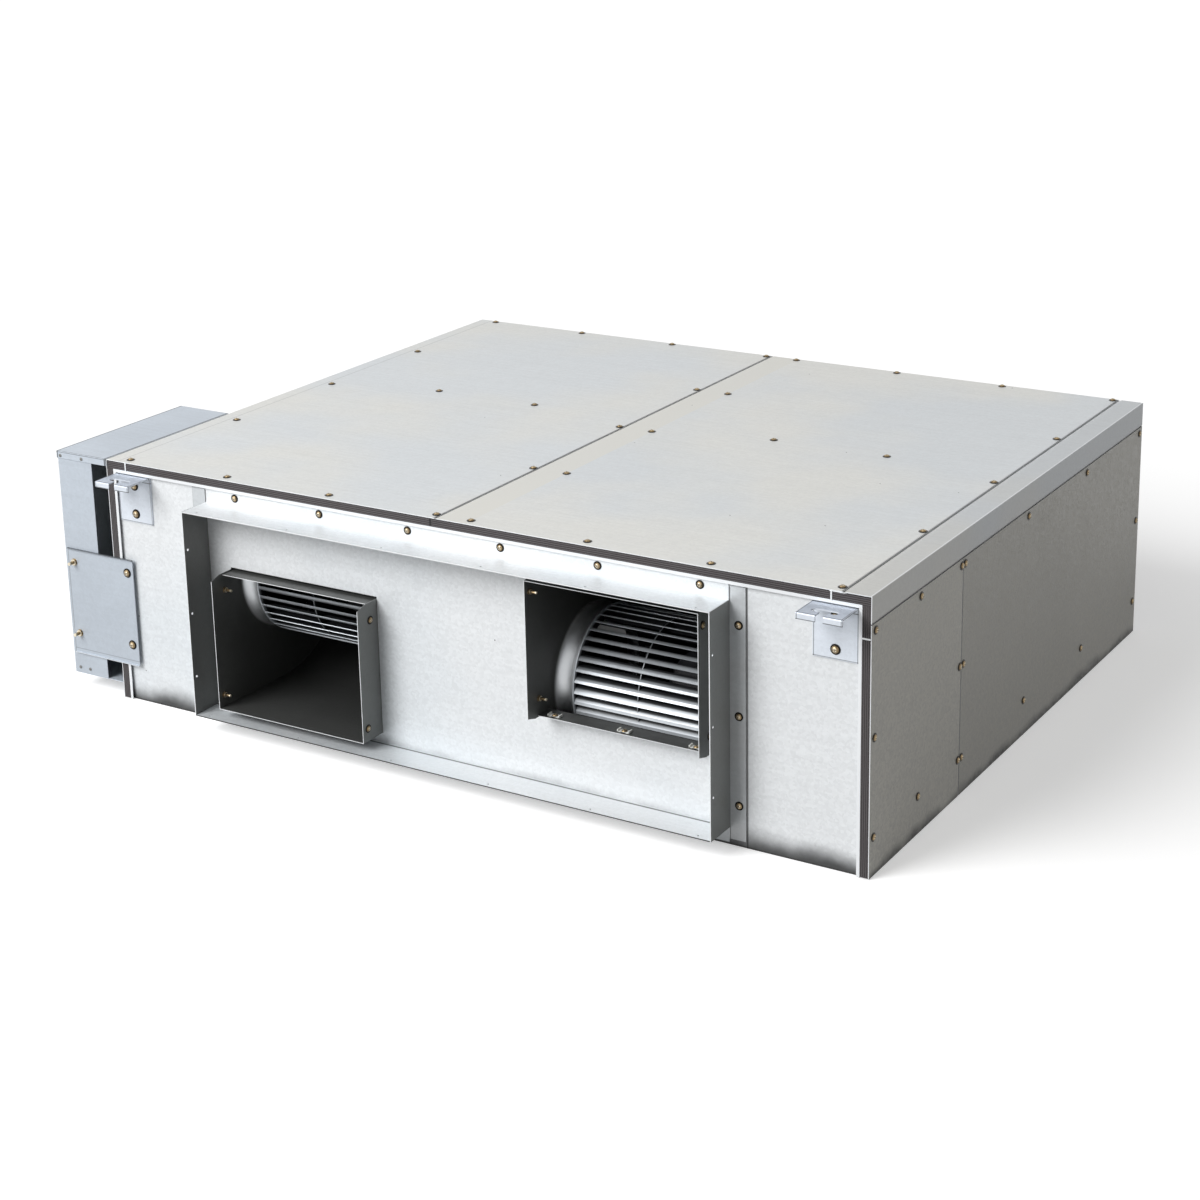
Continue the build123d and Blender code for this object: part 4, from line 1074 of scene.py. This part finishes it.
class UNIT_OT_fan_wheels(bpy.types.Operator):
    """Make the two blower wheels with curved blades, rolled rings and a pressed centre disc"""

    bl_idname = "unit.fan_wheels"
    bl_label = "Fan wheels"

    def execute(self, context):
        look = context.scene.unit_fan
        tree = make_wheel_tree()
        for side in BLOWERS:
            node = side + "_fan_wheel"
            low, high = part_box(node)
            radius = (high[2] - low[2]) / 2
            middle = middle_of(low, high)
            # The blades' inner edges are darkened: painted shade deep inside the wheel.
            ring = (*middle[1:], radius - 0.0075, radius - 0.0008, look.inside, 0.2)
            more = {"patches": 12.0, "metallic": 0.5, "mottle": 0.05, "relief": 0.00005, "ring": ring}
            zinc = sheet_material("zinc_wheel_" + side, look.tint, scaled(look.tint, 1.1), **more)
            values = {
                "Outer Radius": radius - 0.001,
                "Blade Depth": look.chord,
                "Half Width": (high[0] - low[0]) / 2,
                "Blades": look.blades,
                "Lean": look.lean,
                "Gauge": look.gauge,
                "Flip": 1.0 if side == "left" else -1.0,
                "Material": zinc,
            }
            piece = node_result(side + "_wheel_blades", tree, values)
            piece.data.transform(Matrix.Translation(middle))
            finish_mesh(piece)
            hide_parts(node)
            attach(piece, side + "_fan")
        return {"FINISHED"}


# Coil
def mesh_line(tree, count, start, step):
    row = {"Count": count, "Start Location": start, "Offset": step}
    return flow(tree, "GeometryNodeMeshLine", row, mode="OFFSET")


def cuboid(tree, x, y, z):
    return flow(tree, "GeometryNodeMeshCube", {"Size": point_of(tree, x, y, z)})


def make_fin_tree():
    """Row of thin fins along X with the tubes that cross them, leaning with the coil."""
    wanted = {
        "Length": 1.185,
        "Depth": 0.066,
        "Height": 0.4,
        "Pitch": 0.003,
        "Gauge": 0.0005,
        "Tilt": 0.56,
        "Material": MATERIAL,
    }
    tree, given, out = group_tree("Coil fins", wanted, ["Geometry"], "GeometryNodeTree")
    count = (given["Length"] / given["Pitch"]).of("FLOOR")
    first = point_of(tree, given["Length"] * -0.5 + given["Pitch"] * 0.5, 0.0, 0.0)
    line = mesh_line(tree, count, first, point_of(tree, given["Pitch"], 0.0, 0.0))
    turn = point_of(tree, -given["Tilt"], 0.0, 0.0)
    fins = on_points(line, cuboid(tree, given["Gauge"], given["Depth"], given["Height"]), turn)
    lowest = -TUBE_PITCH * (TUBES_IN_ROW - 1) / 2
    starts = [(0.0, across * TUBE_ROW_PITCH, lowest) for across in (-1, 0, 1)]
    rows = [mesh_line(tree, TUBES_IN_ROW, start, (0.0, 0.0, TUBE_PITCH)) for start in starts]
    size = {"Vertices": 10, "Radius": TUBE_RADIUS, "Depth": given["Length"] - 0.001}
    tube = moved(flow(tree, "GeometryNodeMeshCylinder", size), Rotation=QUARTER_TURN)
    tubes = moved(on_points(join(*rows), tube), Rotation=turn)
    close_tree(out, join(fins, tubes), given["Material"])
    return tree


class UNIT_OT_coil(bpy.types.Operator):
    """Make the coil's separate fins and the tubes that cross them"""

    bl_idname = "unit.coil"
    bl_label = "Coil fins"

    def execute(self, context):
        look = context.scene.unit_coil
        low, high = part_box("coil_fins")
        rise = high[2] - low[2]
        values = {
            "Length": high[0] - low[0],
            "Depth": look.depth,
            "Height": (rise - look.depth * math.sin(look.tilt)) / math.cos(look.tilt),
            "Pitch": look.pitch,
            "Gauge": look.gauge,
            "Tilt": look.tilt,
            "Material": grain_material("fin_aluminium", (0.62, 0.65, 0.67), 240.0, 0.25, 0.6),
        }
        piece = node_result("coil_fin_pack", make_fin_tree(), values)
        piece.data.transform(Matrix.Translation(middle_of(low, high)))
        finish_mesh(piece)
        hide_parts("coil_fins")
        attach(piece, CASING)
        return {"FINISHED"}


# Screws
def standing_cylinder(tree, radius, height, foot=0.0):
    """Cylinder along Z that stands at a height above the origin."""
    body = flow(tree, "GeometryNodeMeshCylinder", {"Vertices": 16, "Radius": radius, "Depth": height})
    return moved(body, Translation=point_of(tree, 0.0, 0.0, foot + height * 0.5))


def with_rise(mesh, height):
    """Store each point's share of a height, which the plating's painted highlight and shade follow."""
    share = part(flow(mesh.tree, "GeometryNodeInputPosition"), "Z") / height
    stored = {"Geometry": mesh, "Name": "rise", "Value": share}
    return flow(mesh.tree, "GeometryNodeStoreNamedAttribute", stored, data_type="FLOAT", domain="POINT")


def named(tree, name, data_type):
    return flow(tree, "GeometryNodeInputNamedAttribute", {"Name": name}, data_type=data_type)


def make_screw_tree():
    """Domed pan heads with crossed slots on dark washers, partly painted shadow round each head, and
    standing studs, each along its axis.
    """
    wanted = {
        "Seats": GEOMETRY,
        "Radius": 0.0049,
        "Height": 0.0036,
        "Slot": 0.0011,
        "Rim": 0.0013,
        "Stud": 0.011,
        "Material": MATERIAL,
    }
    tree, given, out = group_tree("Pan head screws", wanted, ["Geometry"], "GeometryNodeTree")
    radius, height, slot = given["Radius"], given["Height"], given["Slot"]
    ball = flow(tree, "GeometryNodeMeshUVSphere", {"Segments": 16, "Rings": 8, "Radius": 1.0})
    head = moved(ball, Scale=point_of(tree, radius, radius, height))
    block = cuboid(tree, *[radius * 4.0] * 3)
    cutters = [moved(block, Translation=point_of(tree, 0.0, 0.0, radius * -2.0))]
    long, top = radius * 1.1, point_of(tree, 0.0, 0.0, height)
    for size in ((long, slot), (slot, long)):
        cutters.append(moved(cuboid(tree, *size, height * 0.9), Translation=top))
    for cutter in cutters:
        pair = {"Mesh 1": head, "Mesh 2": cutter}
        head = flow(tree, "GeometryNodeMeshBoolean", pair, operation="DIFFERENCE")
    rim = standing_cylinder(tree, radius + given["Rim"], 0.0006)
    # The washer's small share keeps it dark: partly painted shadow round the head.
    pan = join(with_rise(head, height), with_rise(rim, 0.01))
    rod = standing_cylinder(tree, radius * 0.45, given["Stud"])
    nut = standing_cylinder(tree, radius * 0.85, 0.0028, 0.0006)
    washer = standing_cylinder(tree, radius, 0.0008)
    stud = join(with_rise(rod, given["Stud"]), with_rise(nut, 0.0034), with_rise(washer, 0.0010))
    chance = flow(tree, "FunctionNodeRandomValue", {2: 0.0, 3: 1.5, "Seed": 7}, 1, data_type="FLOAT")
    spin = flow(tree, "FunctionNodeEulerToRotation", {0: point_of(tree, 0.0, 0.0, chance)})
    axis = named(tree, "axis", "FLOAT_VECTOR")
    stand = flow(tree, "FunctionNodeAlignRotationToVector", {"Vector": axis}, axis="Z")
    turn = flow(tree, "FunctionNodeRotateRotation", {0: stand, 1: spin}, rotation_space="LOCAL")
    standing = named(tree, "stud", "BOOLEAN")
    flat = flow(tree, "FunctionNodeBooleanMath", {0: standing}, operation="NOT")
    heads = on_points(given["Seats"], pan, turn, flat)
    close_tree(out, join(heads, on_points(given["Seats"], stud, turn, standing)), given["Material"])
    return tree


def head_axis(node, centre, thin):
    """Direction that a screw head points, from the node it belongs to and its thin direction."""
    axis = Vector((0, 0, 0))
    if node == "top_screws":
        axis.z = 1
    elif node == "frame_screws":
        axis.y = -1
    elif node == "side_screws":
        axis.x = math.copysign(1, centre.x)
    elif node == "bracket_bolts":
        axis.y = math.copysign(1, centre.y)
    elif thin == 0:
        axis.x = 1
    else:
        axis.z = -1 if centre.x < 0 else 1
    return axis


def screw_seats(node):
    """Seat point and axis of each head of a CAD screw node."""
    seats = []
    for low, high in islands(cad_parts[node].data):
        centre = (low + high) / 2
        size = high - low
        thin = min(range(3), key=lambda index: size[index])
        axis = head_axis(node, centre, thin)
        seats.append((centre - axis * size[thin] / 2, axis))
    seats.sort(key=lambda seat: tuple(seat[0]))
    return seats


def is_stud(node, seat):
    """Whether a screw stands out of the sheet: two of the wiring cover, and the outlets' left ones."""
    if node == "bracket_bolts":
        return seat.x < COVER_STUDS_X
    if node == "outlet_screws":
        return any(abs(seat.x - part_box(side + "_scroll")[0][0]) < STUD_WALL_REACH for side in BLOWERS)
    return False


def screw_piece(name, node, seats, tree, look, **values):
    """Screw heads on their seats, whose points carry each one's axis and whether it is a stud."""
    mesh = bpy.data.meshes.new(name + "_seats")
    mesh.from_pydata([seat for seat, _ in seats], [], [])
    axes = mesh.attributes.new("axis", "FLOAT_VECTOR", "POINT")
    studs = mesh.attributes.new("stud", "BOOLEAN", "POINT")
    for index, (seat, axis) in enumerate(seats):
        axes.data[index].vector = axis
        studs.data[index].value = is_stud(node, seat)
    piece = node_result(name, tree, {"Stud": look.stud, **values}, mesh)
    finish_mesh(piece)
    return piece


def lip_clip(x, y, z):
    """Boxes of a spring clip under a lip's screw: a strip with both ends bent up."""
    low_y, high_y = y - 0.005, y + 0.005
    ends = [((end, low_y, z), (end + 0.0018, high_y, z + 0.0034)) for end in (x - 0.0102, x + 0.0084)]
    return [((x - 0.010, low_y, z), (x + 0.010, high_y, z + 0.0009)), *ends]


class UNIT_OT_screws(bpy.types.Operator):
    """Make the screws of the casing, frame, outlets and brackets, the box's rivets and the lip's clips"""

    bl_idname = "unit.screws"
    bl_label = "Screws"

    def execute(self, context):
        look = context.scene.unit_screws
        plating = screw_material("yellow_zinc", look.tint)
        tree = make_screw_tree()
        for node in ("top_screws", "side_screws", "frame_screws", "outlet_screws", "bracket_bolts"):
            share = 1.25 if node == "bracket_bolts" else 1.0
            values = {
                "Radius": share * look.radius,
                "Height": share * look.height,
                "Slot": look.slot,
                "Rim": look.rim,
                "Material": plating,
            }
            piece = screw_piece(node + "_heads", node, screw_seats(node), tree, look, **values)
            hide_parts(node)
            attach(piece, CASING)
        lid_front, box_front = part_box("side_box_lid")[0][1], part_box("side_box")[0][1]
        places = [(x, lid_front, LID_RIVET_Z) for x in LID_RIVET_X]
        places += [(x, box_front, FOOT_RIVET_Z) for x in FOOT_RIVET_X]
        seats = [(Vector(place), Vector((0, -1, 0))) for place in places]
        values = {
            "Radius": look.rivet,
            "Height": 0.5 * look.rivet,
            "Slot": 0.1 * look.rivet,
            "Rim": 0.3 * look.rivet,
            "Material": grain_material("rivet_zinc", (0.22, 0.22, 0.21), 400.0, 0.3, 0.4),
        }
        rivets = screw_piece("box_rivets", "box_rivets", seats, tree, look, **values)
        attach(rivets, CASING)
        boxes = []
        for seat, axis in screw_seats("outlet_screws"):
            if axis.z > 0.5:
                boxes += lip_clip(*seat)
        clips = box_mesh("lip_clips", boxes)
        clips.data.materials.append(grain_material("lip_clip_zinc", (0.82, 0.83, 0.80), 300.0, 0.15, 0.2))
        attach(clips, CASING)
        return {"FINISHED"}


# Nodes, material name, colour, grain, tone and metal share
SMALL_PARTS = (
    (COPPER_PARTS, "copper_tube", (0.62, 0.32, 0.20), 160.0, 0.4, 0.85),
    ("expansion_valve", "valve_brass", (0.62, 0.47, 0.20), 220.0, 0.3, 0.8),
    ("drain_pan", "pan_coating", (0.16, 0.165, 0.17), 420.0, 0.3),
    ("drain_socket", "socket_plastic", (0.38, 0.39, 0.40), 380.0, 0.2),
    ("terminal_block", "terminal_plastic", (0.70, 0.67, 0.58), 500.0, 0.15),
    ("control_board", "board_lacquer", (0.03, 0.17, 0.07), 260.0, 0.5),
)


class UNIT_OT_refrigerant_parts(bpy.types.Operator):
    """Dress the pipes, valve, drain pan and electrical parts"""

    bl_idname = "unit.refrigerant_parts"
    bl_label = "Pipes and small parts"

    def execute(self, context):
        for names, *look in SMALL_PARTS:
            dress(names, grain_material(*look))
        return {"FINISHED"}


# Camera, lamp, surroundings and floor
def seen(tree):
    """Whether the camera looks at the surface, straight, through something clear or in a gloss."""
    path = put(tree, "ShaderNodeLightPath").outputs
    kinds = ("Is Camera Ray", "Is Transmission Ray", "Is Glossy Ray")
    straight, clear, gloss = (Flow(path[kind]) for kind in kinds)
    return straight.maths("MAXIMUM", straight.maths("MAXIMUM", straight, clear), gloss)


def floor_material(bounce):
    """Pale paper that fades to plain white for the camera, and a dull floor for every other ray."""
    material, shader = new_material("floor_paper")
    tree = shader.id_data
    away = length(object_place(tree))
    base = blend(ramp(away, PAPER_NEAR, PAPER_FAR), (0.80, 0.80, 0.80, 1), (0.0, 0.0, 0.0, 1))
    set_inputs(shader, {"Base Color": base, "Roughness": 0.9})
    glow = {"Color": (1, 1, 1, 1), "Strength": ramp(away, PAPER_NEAR, PAPER_FAR, 0.42, 1.0)}
    paper = {0: Flow(shader.outputs[0]), 1: flow(tree, "ShaderNodeEmission", glow)}
    dull = flow(tree, "ShaderNodeBsdfDiffuse", {"Color": colour(bounce)})
    both = flow(tree, "ShaderNodeAddShader", paper)
    pick = flow(tree, "ShaderNodeMixShader", {0: seen(tree), 1: dull, 2: both})
    set_inputs(tree.nodes["Material Output"], {"Surface": pick})
    return material


class UNIT_OT_stage(bpy.types.Operator):
    """Set the camera, lamp, floor and surroundings"""

    bl_idname = "unit.stage"
    bl_label = "Stage"

    def execute(self, context):
        scene = context.scene
        look = scene.unit_stage
        camera = linked("camera", bpy.data.cameras.new("camera"))
        camera.data.lens = CAMERA_LENS
        camera.data.sensor_width = CAMERA_SENSOR
        camera.data.shift_y = CAMERA_SHIFT_Y
        camera.data.clip_end = CAMERA_CLIP_END
        turn = Matrix((CAMERA_RIGHT, CAMERA_UP, CAMERA_BACK)).transposed().to_4x4()
        camera.matrix_world = Matrix.Translation(CAMERA_PLACE) @ turn
        scene.camera = camera
        scene.view_settings.view_transform = "Standard"

        lamp = linked("key_lamp", bpy.data.lights.new("key_lamp", "AREA"))
        lamp.data.shape = "DISK"
        lamp.data.size = LAMP_SIZE
        lamp.data.energy = look.key
        lamp.location = LAMP_PLACE
        way = Vector(LAMP_PLACE) - Vector(LAMP_TARGET)
        lamp.rotation_euler = way.to_track_quat("Z", "Y").to_euler()

        scene.world = bpy.data.worlds.new("surroundings")
        scene.world.use_nodes = True
        strength = look.sky + seen(scene.world.node_tree) * (1.0 - look.sky)
        set_inputs(scene.world.node_tree.nodes["Background"], {"Color": (1, 1, 1, 1), "Strength": strength})

        mesh = bpy.data.meshes.new("floor")
        signs = [(-1, -1), (1, -1), (1, 1), (-1, 1)]
        corners = [(FLOOR_REACH * x, FLOOR_REACH * y, -FLOOR_DROP) for x, y in signs]
        mesh.from_pydata(corners, [], [(0, 1, 2, 3)])
        floor = linked("floor", mesh)
        mesh.materials.append(floor_material(look.bounce))
        return {"FINISHED"}


OPERATORS = (
    UNIT_OT_sheet_metal,
    UNIT_OT_foam_lining,
    UNIT_OT_blower_housings,
    UNIT_OT_fan_wheels,
    UNIT_OT_coil,
    UNIT_OT_refrigerant_parts,
    UNIT_OT_screws,
    UNIT_OT_stage,
)


class UNIT_PT_panel(bpy.types.Panel):
    """Buttons of the indoor unit"""

    bl_label = "Indoor Unit"
    bl_idname = "UNIT_PT_panel"
    bl_space_type = "VIEW_3D"
    bl_region_type = "UI"
    bl_category = "Indoor Unit"

    def draw(self, context):
        for operator in OPERATORS:
            self.layout.operator(operator.bl_idname)


SETTINGS = {
    "unit_sheet": SheetSettings,
    "unit_screws": ScrewSettings,
    "unit_fan": FanSettings,
    "unit_coil": CoilSettings,
    "unit_stage": StageSettings,
}


def register():
    for name, group in SETTINGS.items():
        bpy.utils.register_class(group)
        setattr(bpy.types.Scene, name, bpy.props.PointerProperty(type=group))
    for group in (*OPERATORS, UNIT_PT_panel):
        bpy.utils.register_class(group)


def unregister():
    for group in (UNIT_PT_panel, *reversed(OPERATORS)):
        bpy.utils.unregister_class(group)
    for name, group in SETTINGS.items():
        delattr(bpy.types.Scene, name)
        bpy.utils.unregister_class(group)


def main():
    register()
    for operator in OPERATORS:
        group, name = operator.bl_idname.split(".")
        getattr(getattr(bpy.ops, group), name)()


if __name__ == "__main__":
    main()
